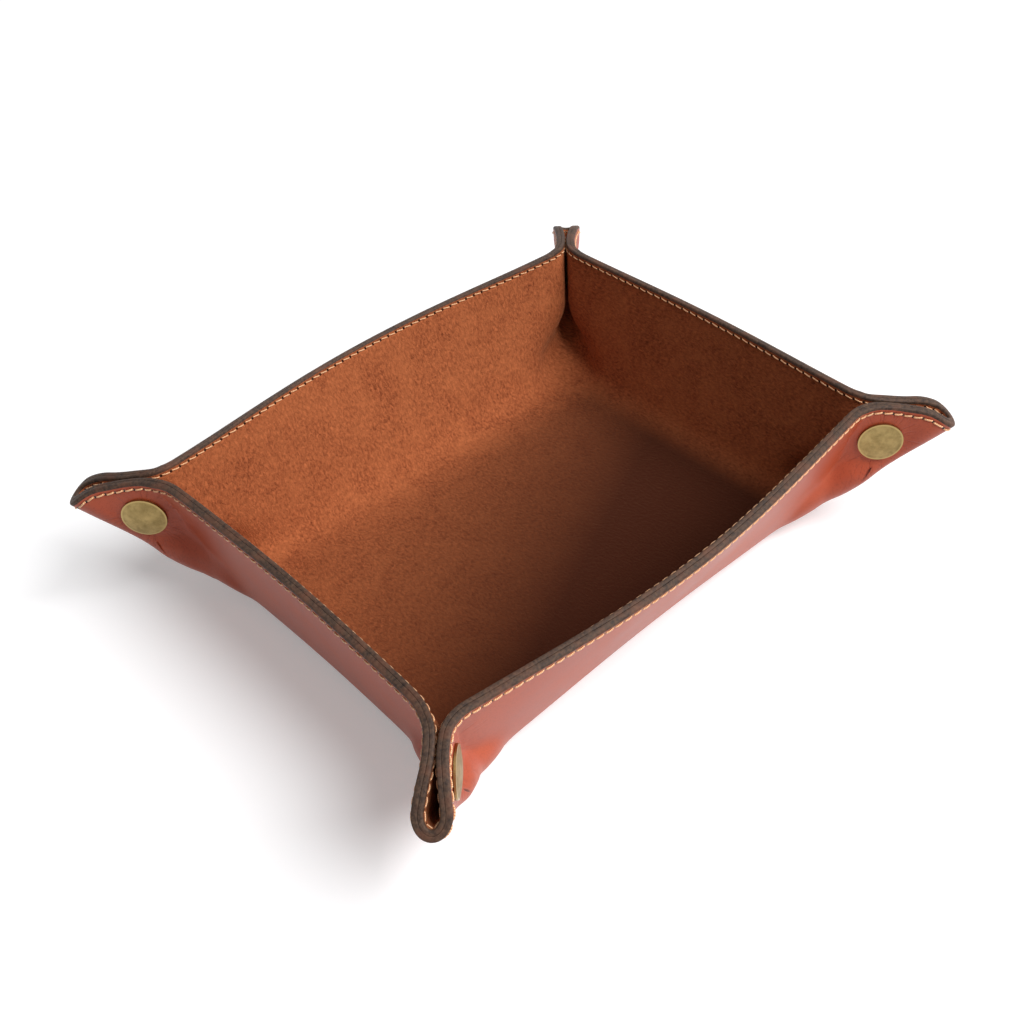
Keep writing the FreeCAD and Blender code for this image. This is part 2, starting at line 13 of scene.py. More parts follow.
import bpy
import numpy as np
from mathutils import Vector
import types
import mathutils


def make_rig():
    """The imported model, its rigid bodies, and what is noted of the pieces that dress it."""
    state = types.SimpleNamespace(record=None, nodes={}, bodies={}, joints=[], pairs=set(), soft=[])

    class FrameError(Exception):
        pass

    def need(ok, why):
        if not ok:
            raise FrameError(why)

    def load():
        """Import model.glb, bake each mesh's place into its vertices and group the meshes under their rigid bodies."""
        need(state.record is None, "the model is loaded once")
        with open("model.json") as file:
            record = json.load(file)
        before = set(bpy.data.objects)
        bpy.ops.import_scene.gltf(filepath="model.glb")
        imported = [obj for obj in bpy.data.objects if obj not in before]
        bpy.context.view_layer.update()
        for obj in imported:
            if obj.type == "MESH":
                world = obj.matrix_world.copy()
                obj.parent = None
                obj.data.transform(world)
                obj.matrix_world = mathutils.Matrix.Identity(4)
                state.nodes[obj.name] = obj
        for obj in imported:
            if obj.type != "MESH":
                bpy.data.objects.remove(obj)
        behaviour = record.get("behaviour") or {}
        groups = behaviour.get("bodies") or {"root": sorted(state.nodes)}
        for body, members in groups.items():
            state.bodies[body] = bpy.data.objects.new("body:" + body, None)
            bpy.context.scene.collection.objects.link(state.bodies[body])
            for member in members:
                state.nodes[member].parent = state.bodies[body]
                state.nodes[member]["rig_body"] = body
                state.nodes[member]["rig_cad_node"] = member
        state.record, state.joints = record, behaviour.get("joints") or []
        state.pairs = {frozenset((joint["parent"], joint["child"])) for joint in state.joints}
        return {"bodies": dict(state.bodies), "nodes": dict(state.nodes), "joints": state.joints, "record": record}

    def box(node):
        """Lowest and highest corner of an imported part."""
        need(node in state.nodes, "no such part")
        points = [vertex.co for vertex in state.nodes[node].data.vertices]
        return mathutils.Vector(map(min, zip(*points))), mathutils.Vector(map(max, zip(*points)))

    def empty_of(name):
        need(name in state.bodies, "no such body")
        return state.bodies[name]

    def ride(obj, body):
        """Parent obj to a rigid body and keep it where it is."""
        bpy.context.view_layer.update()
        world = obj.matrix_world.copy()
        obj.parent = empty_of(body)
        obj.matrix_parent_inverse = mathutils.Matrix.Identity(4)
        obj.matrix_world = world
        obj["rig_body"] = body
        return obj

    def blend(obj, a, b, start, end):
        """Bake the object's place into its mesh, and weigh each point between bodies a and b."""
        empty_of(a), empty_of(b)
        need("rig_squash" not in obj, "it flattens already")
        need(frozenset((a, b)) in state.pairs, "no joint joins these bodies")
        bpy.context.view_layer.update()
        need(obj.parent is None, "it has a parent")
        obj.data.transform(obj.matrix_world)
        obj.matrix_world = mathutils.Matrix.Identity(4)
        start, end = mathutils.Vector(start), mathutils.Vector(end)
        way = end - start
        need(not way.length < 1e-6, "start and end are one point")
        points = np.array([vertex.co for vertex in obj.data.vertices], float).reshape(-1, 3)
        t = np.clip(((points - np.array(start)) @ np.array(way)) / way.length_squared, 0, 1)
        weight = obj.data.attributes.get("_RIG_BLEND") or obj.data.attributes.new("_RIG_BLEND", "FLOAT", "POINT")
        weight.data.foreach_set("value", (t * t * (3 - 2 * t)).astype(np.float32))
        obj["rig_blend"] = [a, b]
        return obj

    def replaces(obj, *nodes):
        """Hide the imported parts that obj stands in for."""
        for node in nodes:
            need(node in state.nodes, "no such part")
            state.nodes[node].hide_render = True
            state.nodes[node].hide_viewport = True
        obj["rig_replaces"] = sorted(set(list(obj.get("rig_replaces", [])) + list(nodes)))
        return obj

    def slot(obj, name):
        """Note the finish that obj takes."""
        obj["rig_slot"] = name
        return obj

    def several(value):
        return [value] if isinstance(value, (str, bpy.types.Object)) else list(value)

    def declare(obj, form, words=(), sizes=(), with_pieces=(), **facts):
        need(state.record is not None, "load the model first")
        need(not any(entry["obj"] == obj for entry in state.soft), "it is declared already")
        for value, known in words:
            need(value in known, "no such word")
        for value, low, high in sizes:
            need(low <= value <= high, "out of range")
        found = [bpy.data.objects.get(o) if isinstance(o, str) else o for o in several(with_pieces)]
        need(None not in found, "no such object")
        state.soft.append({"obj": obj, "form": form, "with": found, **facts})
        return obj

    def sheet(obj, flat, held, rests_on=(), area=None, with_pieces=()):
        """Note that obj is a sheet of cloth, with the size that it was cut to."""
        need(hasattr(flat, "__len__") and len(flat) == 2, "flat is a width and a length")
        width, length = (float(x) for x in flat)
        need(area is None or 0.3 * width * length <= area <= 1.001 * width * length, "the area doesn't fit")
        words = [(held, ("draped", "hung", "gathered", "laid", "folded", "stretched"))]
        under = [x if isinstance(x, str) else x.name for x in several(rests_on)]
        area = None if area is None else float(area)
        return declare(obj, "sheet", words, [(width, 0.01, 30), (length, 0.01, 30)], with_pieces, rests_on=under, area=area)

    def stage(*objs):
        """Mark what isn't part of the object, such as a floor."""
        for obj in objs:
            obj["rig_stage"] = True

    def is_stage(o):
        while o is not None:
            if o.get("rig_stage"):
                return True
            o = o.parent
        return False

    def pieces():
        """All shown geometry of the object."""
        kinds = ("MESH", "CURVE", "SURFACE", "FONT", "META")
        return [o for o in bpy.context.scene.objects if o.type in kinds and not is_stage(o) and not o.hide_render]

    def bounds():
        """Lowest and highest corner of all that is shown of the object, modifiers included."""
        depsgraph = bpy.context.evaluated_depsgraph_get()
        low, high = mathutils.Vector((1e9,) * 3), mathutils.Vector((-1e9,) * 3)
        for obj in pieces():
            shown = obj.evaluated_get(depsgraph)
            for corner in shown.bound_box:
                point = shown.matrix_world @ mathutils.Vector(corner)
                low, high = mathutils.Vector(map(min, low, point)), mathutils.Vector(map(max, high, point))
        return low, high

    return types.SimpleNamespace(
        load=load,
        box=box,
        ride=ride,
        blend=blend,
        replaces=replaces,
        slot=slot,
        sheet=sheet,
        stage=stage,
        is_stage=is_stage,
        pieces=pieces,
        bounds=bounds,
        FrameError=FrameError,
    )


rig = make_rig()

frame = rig.load()
cad_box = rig.bounds()
print("CAD box:", cad_box)

# %% [markdown]
# ## The camera
#
# The photograph looks down into the tray over its front left corner. The place, the lens and the
# small roll of the camera were worked out from the four ears and the three visible studs.
# The camera comes first, so that every later piece can be judged in the photograph's own frame.

# %% Place the camera
CAMERA_AZIMUTH = -40.6
CAMERA_HEIGHT_ANGLE = 42.03
CAMERA_ROLL = -3.96
CAMERA_DISTANCE = 0.47778
CAMERA_AIM = (0.01874, 0.01686, 0.0)
CAMERA_NEAREST = 0.01
PICTURE_SIZE = 1024
FOCAL_PIXELS = 1305.8
SENSOR_WIDTH = 36.0
PICTURE_OFFSET = (16.5, -13.6)


def new_object(name, data):
    """An object that is part of the scene."""
    made = bpy.data.objects.new(name, data)
    bpy.context.scene.collection.objects.link(made)
    return made


def place_camera():
    """A camera on the photographer's side of the tray, rolled a little about its own axis."""
    azimuth, height = math.radians(CAMERA_AZIMUTH), math.radians(CAMERA_HEIGHT_ANGLE)
    away = Vector((
        math.sin(azimuth) * math.cos(height),
        -math.cos(azimuth) * math.cos(height),
        math.sin(height),
    ))
    data = bpy.data.cameras.new("photo_camera")
    data.sensor_width = SENSOR_WIDTH
    data.lens = SENSOR_WIDTH * FOCAL_PIXELS / PICTURE_SIZE
    data.shift_x = -PICTURE_OFFSET[0] / PICTURE_SIZE
    data.shift_y = PICTURE_OFFSET[1] / PICTURE_SIZE
    data.clip_start = CAMERA_NEAREST
    camera = new_object("photo_camera", data)
    camera.location = Vector(CAMERA_AIM) + away * CAMERA_DISTANCE
    facing = (-away).to_track_quat("-Z", "Y").to_matrix()
    roll = math.radians(CAMERA_ROLL)
    right = facing.col[0] * math.cos(roll) + facing.col[1] * math.sin(roll)
    up = facing.col[1] * math.cos(roll) - facing.col[0] * math.sin(roll)
    for axis, column in enumerate((right, up, away)):
        facing.col[axis] = column
    camera.rotation_euler = facing.to_euler()
    bpy.context.scene.camera = camera
    return camera


camera = place_camera()
print("camera at", tuple(round(value, 3) for value in camera.location))

# %% [markdown]
# ## How a flat sheet becomes a tray
#
# Leather bends but hardly stretches, so each fold is a flat, a cylindrical or a conical stretch.
# Round each base corner the sheet is a fan of straight rays that start at the corner. The rays
# lie in the wall, swing outward until the suede touches its mirror image, run flat along the ear
# and turn through a tight loop. The arcs of that fan are solved here, as the CAD model has them,
# so the soft pieces lie where the CAD says. The sizes from the fade round a stud on are fitted to
# the photograph, and differ from the CAD model's by a few millimetres at most. Lengths in this
# part are millimetres, and the angles of the fan are radians.

# %% Sizes of the sheet and its folds
SHEET_LENGTH = 258.0
SHEET_WIDTH = 214.0
CORNER_RADIUS = 20.0
LINING = 1.45
GLUE_LINE = 0.05
THICKNESS = 3.3
WALL_DEPTH = 48.5
WALL_LEAN = math.radians(76.0)
BOW_END = 17.5
BASE_BEND_REACH = 7.0
EAR_BEND_RADIUS = 18.0
EAR_LOOP_RADIUS = 3.6
EAR_PINCH_GAP = 0.3
VERTEX_REACH = 22.0
VERTEX_SOFTNESS = 8.0
SNAP_FROM_END = 29.3
SNAP_FROM_RIM = 13.8
SNAP_FACE_GAP = 1.2
SNAP_FLAT_RADIUS = 8.0
SNAP_FADE_RADIUS = 17.0
FOOT_BULGE = 6.0
FOOT_BULGE_REACH = 7.0
FOOT_BULGE_NARROWING = 0.35
FOOT_BULGE_NARROWS_OVER = 30.0
FOOT_BULGE_STARTS, FOOT_BULGE_RISES_OVER = -14.0, 22.0
FOOT_BULGE_FADES_FROM, FOOT_BULGE_FADES_OVER = 6.0, 36.0
TIP_PINCH = 0.6
TIP_PINCH_FROM, TIP_PINCH_OVER = 40.0, 12.0
LONG_FOOT_INSET = 2.2
SHORT_FOOT_INSET = 1.0

HALF_LENGTH = SHEET_LENGTH / 2
HALF_WIDTH = SHEET_WIDTH / 2
FOLD_X = HALF_LENGTH - WALL_DEPTH
FOLD_Y = HALF_WIDTH - WALL_DEPTH
ROUND_CENTRE = np.array([HALF_LENGTH, HALF_WIDTH]) - CORNER_RADIUS
X_AXIS = np.array([1.0, 0.0, 0.0])
Y_AXIS = np.array([0.0, 1.0, 0.0])
Z_AXIS = np.array([0.0, 0.0, 1.0])
ACROSS_EAR = np.array([1.0, -1.0, 0.0]) / math.sqrt(2)


def dot(first, second):
    """Dot products of vectors that are listed along the last axis."""
    return np.sum(first * second, axis=-1)


def unit(vectors):
    """The vectors at length one."""
    return vectors / np.maximum(np.linalg.norm(vectors, axis=-1, keepdims=True), 1e-12)


def turned(vectors, axis, angle):
    """The vectors turned about a unit axis through the origin, each by its own angle."""
    angle = np.asarray(angle)[..., None]
    along = dot(vectors, axis)[..., None] * axis
    return along + (vectors - along) * np.cos(angle) + np.cross(axis, vectors) * np.sin(angle)


# %% Solve the fan of rays round a base corner
FIRST_ARCS = (-0.17, 0.33, 0.05, 0.2, 0.1)
SOLVER_ROUNDS = 60
SOLVER_STEP = 1e-6
SOLVER_LIMIT = 1e-10
LARGEST_CHANGE = 0.1


class EarFold:
    """Directions of the rays round one half of a corner, by their angle from the wall."""

    def __init__(self, lean):
        wall_ray = math.atan(math.cos(lean))
        touch_distance = WALL_DEPTH / math.cos(wall_ray)
        tip_distance = (WALL_DEPTH - CORNER_RADIUS) * math.sqrt(2) + CORNER_RADIUS
        self.up_wall = Y_AXIS * math.cos(lean) + Z_AXIS * math.sin(lean)
        self.bend = math.asin(EAR_BEND_RADIUS / touch_distance)
        self.loop = math.asin(EAR_LOOP_RADIUS / tip_distance)
        self.half_gap = EAR_PINCH_GAP / 2 / touch_distance
        arcs = self.solved(np.array(FIRST_ARCS) + np.array([wall_ray, 0, 0, 0, 0]))
        self.frames, _ = self.chain(arcs)
        bend_end = arcs[0] + arcs[1] + arcs[2]
        self.stops = [arcs[0], bend_end, bend_end + arcs[3]]
        self.crease = (self.stops[0] + self.stops[1]) / 2
        self.loop_middle = (self.stops[2] + math.pi / 4) / 2
        self.loop_spread = -dot(self.frames[2][0], ACROSS_EAR)

    def wall_rays(self, angle):
        """Rays that lie in the flat wall."""
        angle = np.asarray(angle)[..., None]
        return X_AXIS * np.sin(angle) + self.up_wall * np.cos(angle)

    def bent(self, frame, opening, arc, side):
        """A frame (ray, heading, normal) carried round a cone of that half angle."""
        axis = frame[0] * math.cos(opening) + frame[2] * (side * math.sin(opening))
        return tuple(turned(vector, axis, side * arc / math.sin(opening)) for vector in frame)

    def chain(self, arcs):
        """Frames where the bend starts and ends, where the loop starts and ends, and the touch."""
        ray = self.wall_rays(arcs[0])
        heading = X_AXIS * math.cos(arcs[0]) - self.up_wall * math.sin(arcs[0])
        start = (ray, heading, np.cross(ray, heading))
        touch = self.bent(start, self.bend, arcs[1], 1)
        spread = self.bent(start, self.bend, arcs[1] + arcs[2], 1)
        loop_start = tuple(turned(vector, spread[2], arcs[3]) for vector in spread)
        loop_end = self.bent(loop_start, self.loop, arcs[4], -1)
        return [start, spread, loop_start, loop_end], touch

    def closing_errors(self, arcs):
        """All zero when the halves of the ear touch, and close smoothly at the loop."""
        frames, touch = self.chain(arcs)
        end_ray, end_heading, _ = frames[3]
        return np.array([
            dot(touch[0], ACROSS_EAR) + self.half_gap,
            dot(touch[1], ACROSS_EAR),
            dot(end_ray, ACROSS_EAR),
            dot(end_heading, np.cross(ACROSS_EAR, end_ray)),
            arcs.sum() - math.pi / 4,
        ])

    def solved(self, arcs):
        """Newton's method, with slopes from small steps."""
        for _ in range(SOLVER_ROUNDS):
            errors = self.closing_errors(arcs)
            if np.abs(errors).max() < SOLVER_LIMIT:
                break
            tried = [self.closing_errors(arcs + move) for move in np.eye(len(arcs)) * SOLVER_STEP]
            slopes = np.stack([(result - errors) / SOLVER_STEP for result in tried], 1)
            change = np.linalg.solve(slopes, -errors)
            arcs = arcs + change * min(1.0, LARGEST_CHANGE / np.abs(change).max())
        return arcs

    def rays(self, angle):
        """Unit directions in space of the rays at these angles from the wall's own direction."""
        bend_start, bend_end, loop_start = self.stops
        stretches = [
            self.wall_rays(angle),
            self.bent(self.frames[0], self.bend, angle - bend_start, 1)[0],
            turned(self.frames[1][0], self.frames[1][2], angle - bend_end),
            self.bent(self.frames[2], self.loop, angle - loop_start, -1)[0],
        ]
        which = np.searchsorted(self.stops, angle)
        return np.choose(which[..., None], stretches)


EAR = EarFold(WALL_LEAN)
print("ear stops, degrees:", [round(math.degrees(stop), 2) for stop in EAR.stops])


# %% [markdown]
# ## Folding any point of the sheet
#
# A point of the flat sheet has a place along X and Y. Past the fold lines it is carried up along
# its ray. A real ear is held only at its stud, so towards its foot the two flaps stand apart and
# the fold is full and round: there the points are pushed away from the middle plane of the ear.
# The suede is pressed together at each stud, and near a base corner the place is averaged over a
# small disc, because leather of this thickness rounds a sharp fold.

# %% Fold points of the flat sheet
def smoothstep(value):
    """0 below 0, 1 above 1, and a smooth rise between."""
    value = np.clip(value, 0, 1)
    return value * value * (3 - 2 * value)


def eased(distance):
    """Distance past a fold line, eased in over the reach of the bend."""
    reach = BASE_BEND_REACH
    rounded = (np.clip(distance, -reach, reach) + reach) ** 2 / (4 * reach)
    return np.where(distance > reach, distance, rounded)


def signs(values):
    """-1 for negative numbers and 1 for the rest."""
    return np.where(values < 0, -1.0, 1.0)


def foot_bulge(past_x, past_y):
    """Push away from the middle plane of the ear, strongest at its foot and fading up the ear."""
    outward = (past_x + past_y) / math.sqrt(2)
    narrowing = FOOT_BULGE_NARROWING * smoothstep(outward / FOOT_BULGE_NARROWS_OVER)
    aside = (past_x - past_y) / math.sqrt(2) / (FOOT_BULGE_REACH * (1 - narrowing))
    rise = smoothstep((outward - FOOT_BULGE_STARTS) / FOOT_BULGE_RISES_OVER)
    rise *= 1 - smoothstep((outward - FOOT_BULGE_FADES_FROM) / FOOT_BULGE_FADES_OVER)
    amount = FOOT_BULGE * rise * aside * np.exp((1 - aside * aside) / 2)
    return ACROSS_EAR * amount[..., None]


def folded(x, y):
    """Places of flat points on the suede face."""
    past_x, past_y = np.abs(x) - FOLD_X, np.abs(y) - FOLD_Y
    middle_x, middle_y = np.minimum(np.abs(x) / FOLD_X, 1), np.minimum(np.abs(y) / FOLD_Y, 1)
    run_x = eased(past_x + SHORT_FOOT_INSET * (1 - middle_y ** 2) ** 2)
    run_y = eased(past_y + LONG_FOOT_INSET * (1 - middle_x ** 2) ** 2)
    angle = np.arctan2(np.minimum(run_x, run_y), np.maximum(run_x, run_y))
    lift = EAR.rays(angle) * np.hypot(run_x, run_y)[..., None]
    lift = np.where((run_y >= run_x)[..., None], lift, lift[..., [1, 0, 2]])
    start = np.stack([np.abs(x) - run_x, np.abs(y) - run_y, np.full_like(x, THICKNESS)], -1)
    place = start + lift + foot_bulge(past_x, past_y)
    return place * np.stack([signs(x), signs(y), np.ones_like(x)], -1)


def pressed(x, y):
    """Places on the suede face, pressed towards their partners at the studs and at the tips."""
    place = folded(x, y)
    end_x, end_y = HALF_LENGTH - np.abs(x), HALF_WIDTH - np.abs(y)
    from_end, from_rim = np.maximum(end_x, end_y), np.minimum(end_x, end_y)
    distance = np.hypot(from_end - SNAP_FROM_END, from_rim - SNAP_FROM_RIM)
    fade = (distance - SNAP_FLAT_RADIUS) / (SNAP_FADE_RADIUS - SNAP_FLAT_RADIUS)
    press = 1 - smoothstep(fade)
    across = np.stack([signs(x), -signs(y), np.zeros_like(x)], -1) / math.sqrt(2)
    base_corner = np.stack([signs(x) * FOLD_X, signs(y) * FOLD_Y, np.zeros_like(x)], -1)
    offset = dot(place - base_corner, across)
    along, out = WALL_DEPTH - from_end, WALL_DEPTH - from_rim
    loop_width = np.maximum(np.hypot(along, out) * EAR.loop_spread, 1e-6)
    in_loop = np.arctan2(along, out) > EAR.stops[2]
    flat_offset = signs(offset) * SNAP_FACE_GAP / 2
    wanted = np.where(in_loop, offset * SNAP_FACE_GAP / 2 / loop_width, flat_offset)
    moved = offset + press * (wanted - offset)
    outward = (along + out) / math.sqrt(2)
    near_tip = smoothstep((outward - TIP_PINCH_FROM) / TIP_PINCH_OVER) * (along > 0)
    moved = moved * (1 - (1 - TIP_PINCH) * near_tip)
    return place + across * (moved - offset)[..., None]


def place_and_normal(x, y):
    """Places on the suede face and unit normals on the suede's side."""
    step = 0.02
    place = pressed(x, y)
    slope_x = pressed(x + step, y) - place
    slope_y = pressed(x, y + step) - place
    return place, unit(np.cross(slope_x, slope_y))


# %% Round the folds at the base corners
def disc_samples(rings=5, spokes=14):
    """Offsets and weights that average over a disc of radius 1."""
    ring, spoke = np.meshgrid(np.arange(rings), np.arange(spokes), indexing="ij")
    radius = (ring + 0.5) / rings
    angle = 2 * math.pi * (spoke + ring / 2) / spokes
    weight = radius * (1 - radius ** 2)
    parts = (radius * np.cos(angle), radius * np.sin(angle), weight / weight.sum())
    return np.stack([part.ravel() for part in parts], -1)


SOFTENING = disc_samples()


def softened(x, y):
    """Places and normals, averaged near the base corners, for points listed in one row."""
    place, normal = place_and_normal(x, y)
    distance = np.hypot(np.abs(x) - FOLD_X, np.abs(y) - FOLD_Y)
    radius = VERTEX_SOFTNESS * (1 - smoothstep(distance / VERTEX_REACH))
    near = np.flatnonzero(radius > 0.05)
    if len(near):
        steps = SOFTENING[:, None, :2] * radius[near][None, :, None]
        samples = place_and_normal(x[near] + steps[..., 0], y[near] + steps[..., 1])
        weights = SOFTENING[:, 2][:, None, None]
        place[near], normal[near] = ((sample * weights).sum(0) for sample in samples)
    return place, normal


# %% [markdown]
# The ears hold the ends of the walls, and between them each wall leans as it likes: the long
# walls sag outward, the right one leans out a little and the left one stands in. A wall turns
# about its foot, by its full angle in the middle and less towards its ends. The power says how
# far the full angle reaches along the wall.

# %% Lean each wall as the photographed one leans
WALL_BOWS = {
    ("long", -1): (math.radians(12.0), 2),
    ("long", 1): (math.radians(15.0), 2),
    ("short", -1): (math.radians(-2.5), 8),
    ("short", 1): (math.radians(3.0), 2),
}
EAR_HELD_FROM = math.radians(22.0)


def leaned(place, normal, x, y):
    """Places and normals after each wall has leaned about its foot, most in its middle."""
    past_x, past_y = np.abs(x) - FOLD_X, np.abs(y) - FOLD_Y
    nearer, further = np.minimum(past_x, past_y), np.maximum(past_x, past_y)
    angle = np.arctan2(np.maximum(nearer, 0), np.maximum(further, 1e-6))
    free = 1 - smoothstep(angle / EAR_HELD_FROM)
    free = free * smoothstep((further + BASE_BEND_REACH) / (2 * BASE_BEND_REACH))
    for (side, sign), (bow, power) in WALL_BOWS.items():
        is_long = side == "long"
        on_wall = (past_y >= past_x) == is_long
        on_wall &= (signs(y) if is_long else signs(x)) == sign
        half_fold, along = (FOLD_X, past_x) if is_long else (FOLD_Y, past_y)
        share = np.clip((along + half_fold) / (half_fold + BOW_END), 0, 1)
        turn = np.where(on_wall, bow * free * (1 - share ** power) ** 2, 0.0)
        axis = X_AXIS if is_long else -Y_AXIS
        foot = np.array([0.0, FOLD_Y, 0.0] if is_long else [FOLD_X, 0.0, 0.0]) * sign
        foot[2] = THICKNESS
        place = foot + turned(place - foot, axis, -sign * turn)
        normal = turned(normal, axis, -sign * turn)
    return place, normal


# %% [markdown]
# The four quarters of the tray are folded alike, so each set of mirrored points is folded once,
# together with its neighbours a small step away that give the slope of the faces. Then each wall
# leans in its own way.

# %% Fold many points at once
class Folding:
    """Places and face normals of many flat points at any depth below the suede face."""

    step = 0.15

    def __init__(self, x, y):
        self.x, self.y = x, y
        self.mirror = np.stack([signs(x), signs(y), np.ones_like(x)], -1)
        flat = np.round(np.stack([np.abs(x).ravel(), np.abs(y).ravel()], -1), 5)
        self.points, self.back = np.unique(flat, axis=0, return_inverse=True)
        self.back = self.back.reshape(-1)
        self.centre = self.at(0.0, 0.0)
        self.slopes = []
        for step_x, step_y in ((self.step, 0.0), (0.0, self.step)):
            ahead, behind = self.at(step_x, step_y), self.at(-step_x, -step_y)
            self.slopes.append([a - b for a, b in zip(ahead, behind)])

    def at(self, step_x, step_y):
        """Places and normals of all points, moved by a step away from the middle of the tray."""
        folded_set = softened(self.points[:, 0] + step_x, self.points[:, 1] + step_y)
        both = [values[self.back].reshape(self.mirror.shape) * self.mirror for values in folded_set]
        return leaned(*both, self.x + step_x * signs(self.x), self.y + step_y * signs(self.y))

    def places(self, depth):
        """Places at a depth, which is one number or one for each point."""
        depth = np.broadcast_to(depth, self.x.shape)[..., None]
        return self.centre[0] - self.centre[1] * depth

    def normals(self, depth):
        """Unit normals of the face at a depth, on the suede's side."""
        depth = np.broadcast_to(depth, self.x.shape)[..., None]
        slope_x, slope_y = (place - normal * depth for place, normal in self.slopes)
        outward = np.cross(slope_x, slope_y)
        outward *= (self.mirror[..., 0] * self.mirror[..., 1])[..., None]
        return unit(outward)


# %% [markdown]
# ## Where the sheet is divided
#
# In use the sheet bends, and each stretch of it follows two neighbouring bodies of the model: a
# wall bends away from the base, the crease beside it bends away from the wall, and the ridge of
# the ear bends away from the flap. So the one sheet is divided there, along straight rays and
# fold lines, into pieces that share their edge points and show no seam.
# Every piece is a net of columns and rows over the flat sheet. The last rows end at the rim.

# %% Nets of the pieces over the flat sheet
BASE_MARGIN = 8.0
RIDGE_START = math.radians(33.0)
RIM_INSET = 1.2
BEND_ROWS = np.linspace(-BASE_MARGIN, 0, 10)[:-1]
WALL_ROWS = np.linspace(0, 1, 40)
CORNERS = {
    "front_left": (-1, -1),
    "front_right": (1, -1),
    "back_left": (-1, 1),
    "back_right": (1, 1),
}
WALLS = {
    "front": ("long", -1),
    "back": ("long", 1),
    "left": ("short", -1),
    "right": ("short", 1),
}


def crowded_ends(half_length, fine=1.25, coarse=4.0, fine_reach=26.0):
    """Shares from -1 to 1 along a fold line, fine near its two ends and coarse between."""
    fine_count = round(fine_reach / fine)
    coarse_count = round((half_length - fine_reach) / coarse)
    outer = np.linspace(half_length, half_length - fine_reach, fine_count, endpoint=False)
    inner = np.linspace(half_length - fine_reach, 0, coarse_count + 1)
    half = np.concatenate([outer, inner]) / half_length
    return np.concatenate([-half, half[-2::-1]])


LONG_SHARES = crowded_ends(FOLD_X)
SHORT_SHARES = crowded_ends(FOLD_Y)
CREASE_RAYS = np.linspace(0, RIDGE_START, 30)
RIDGE_RAYS = np.concatenate([
    np.linspace(RIDGE_START, EAR.stops[2], 7)[:-1],
    np.linspace(EAR.stops[2], math.pi / 4, 22),
])


def rim_point(angle):
    """Flat point where a ray meets the rim, past the fold corner, and the way inward there."""
    centre = WALL_DEPTH - CORNER_RADIUS
    straight = np.stack([WALL_DEPTH * np.tan(angle), np.full_like(angle, WALL_DEPTH)], -1)
    along = centre * (np.sin(angle) + np.cos(angle))
    distance = along + np.sqrt(np.maximum(CORNER_RADIUS ** 2 - 2 * centre ** 2 + along ** 2, 0))
    rounded = np.stack([distance * np.sin(angle), distance * np.cos(angle)], -1)
    is_straight = (straight[..., 0] <= centre)[..., None]
    inward = np.where(is_straight, [0.0, -1.0], (centre - rounded) / CORNER_RADIUS)
    return np.where(is_straight, straight, rounded), inward


def for_side(side, *points):
    """The flat points as they are for a long side, and with X and Y swapped for a short one."""
    return points if side == "long" else [values[..., ::-1] for values in points]


def base_net():
    """Columns along X and rows along Y over the flat middle of the base. It has no rim."""
    along = LONG_SHARES * (FOLD_X - BASE_MARGIN)
    across = SHORT_SHARES * (FOLD_Y - BASE_MARGIN)
    return np.stack(np.meshgrid(along, across, indexing="ij"), -1), None


def wall_net(side, sign):
    """Columns along a wall and rows from the base up to just below the rim, and its rim."""
    shares = LONG_SHARES if side == "long" else SHORT_SHARES
    half_fold, start = (FOLD_X, FOLD_Y) if side == "long" else (FOLD_Y, FOLD_X)
    out = np.concatenate([BEND_ROWS, WALL_ROWS * (WALL_DEPTH - RIM_INSET)])
    along = shares[:, None] * (half_fold + np.minimum(out, 0))[None, :]
    net = np.stack(np.broadcast_arrays(along, sign * (start + out)), -1)
    ends = shares * half_fold
    rim = np.stack([ends, np.full_like(ends, sign * (start + WALL_DEPTH))], -1)
    inward = np.stack([np.zeros_like(ends), np.full_like(ends, -sign)], -1)
    net, rim, inward = for_side(side, net, rim, inward)
    return net, (rim, inward)


def fan_net(rays, side, corner_signs):
    """Columns along rays and rows from the fold corner to just below the rim, and its rim."""
    rim, inward = rim_point(rays)
    net = (rim + inward * RIM_INSET)[:, None, :] * WALL_ROWS[None, :, None]
    net, rim, inward = for_side(side, net, rim, inward)
    corner = np.array([FOLD_X, FOLD_Y])
    return (corner + net) * corner_signs, ((corner + rim) * corner_signs, inward * corner_signs)


# %% [markdown]
# ## The cut edge
#
# The edge is cut square, sanded a little round and painted dark. A fine groove shows where the
# suede lining meets the leather. Both layers get the section of that edge as a short row of
# points: how far each lies in from the rim, and how deep below the suede face.

# %% Section of the rounded edge, and the shell of one layer
LAYERS = {
    "lining": {
        "top": 0.0,
        "bottom": LINING,
        "edge": [(0.85, 0.0), (0.45, 0.04), (0.2, 0.17), (0.05, 0.42),
                 (0.0, 0.8), (0.0, 1.12), (0.01, 1.34), (0.07, 1.45)],
    },
    "leather": {
        "top": LINING + GLUE_LINE,
        "bottom": THICKNESS,
        "edge": [(0.07, 1.5), (0.01, 1.6), (0.0, 1.82), (0.0, 2.3),
                 (0.04, 2.72), (0.18, 3.05), (0.42, 3.24), (0.8, 3.3)],
    },
}


def ring_of_points(net, rim, layer):
    """Flat points and depths right round a layer, one ring for each column of the net."""
    section = LAYERS[layer]
    flats = [net]
    depths = [np.full(net.shape[:2], section["top"])]
    if rim is not None:
        edge = np.array(section["edge"])
        flats.append(rim[0][:, None] + rim[1][:, None] * edge[None, :, :1])
        depths.append(np.broadcast_to(edge[:, 1], (len(net), len(edge))))
    flats.append(net[:, ::-1])
    depths.append(np.full(net.shape[:2], section["bottom"]))
    return np.concatenate(flats, 1), np.concatenate(depths, 1)


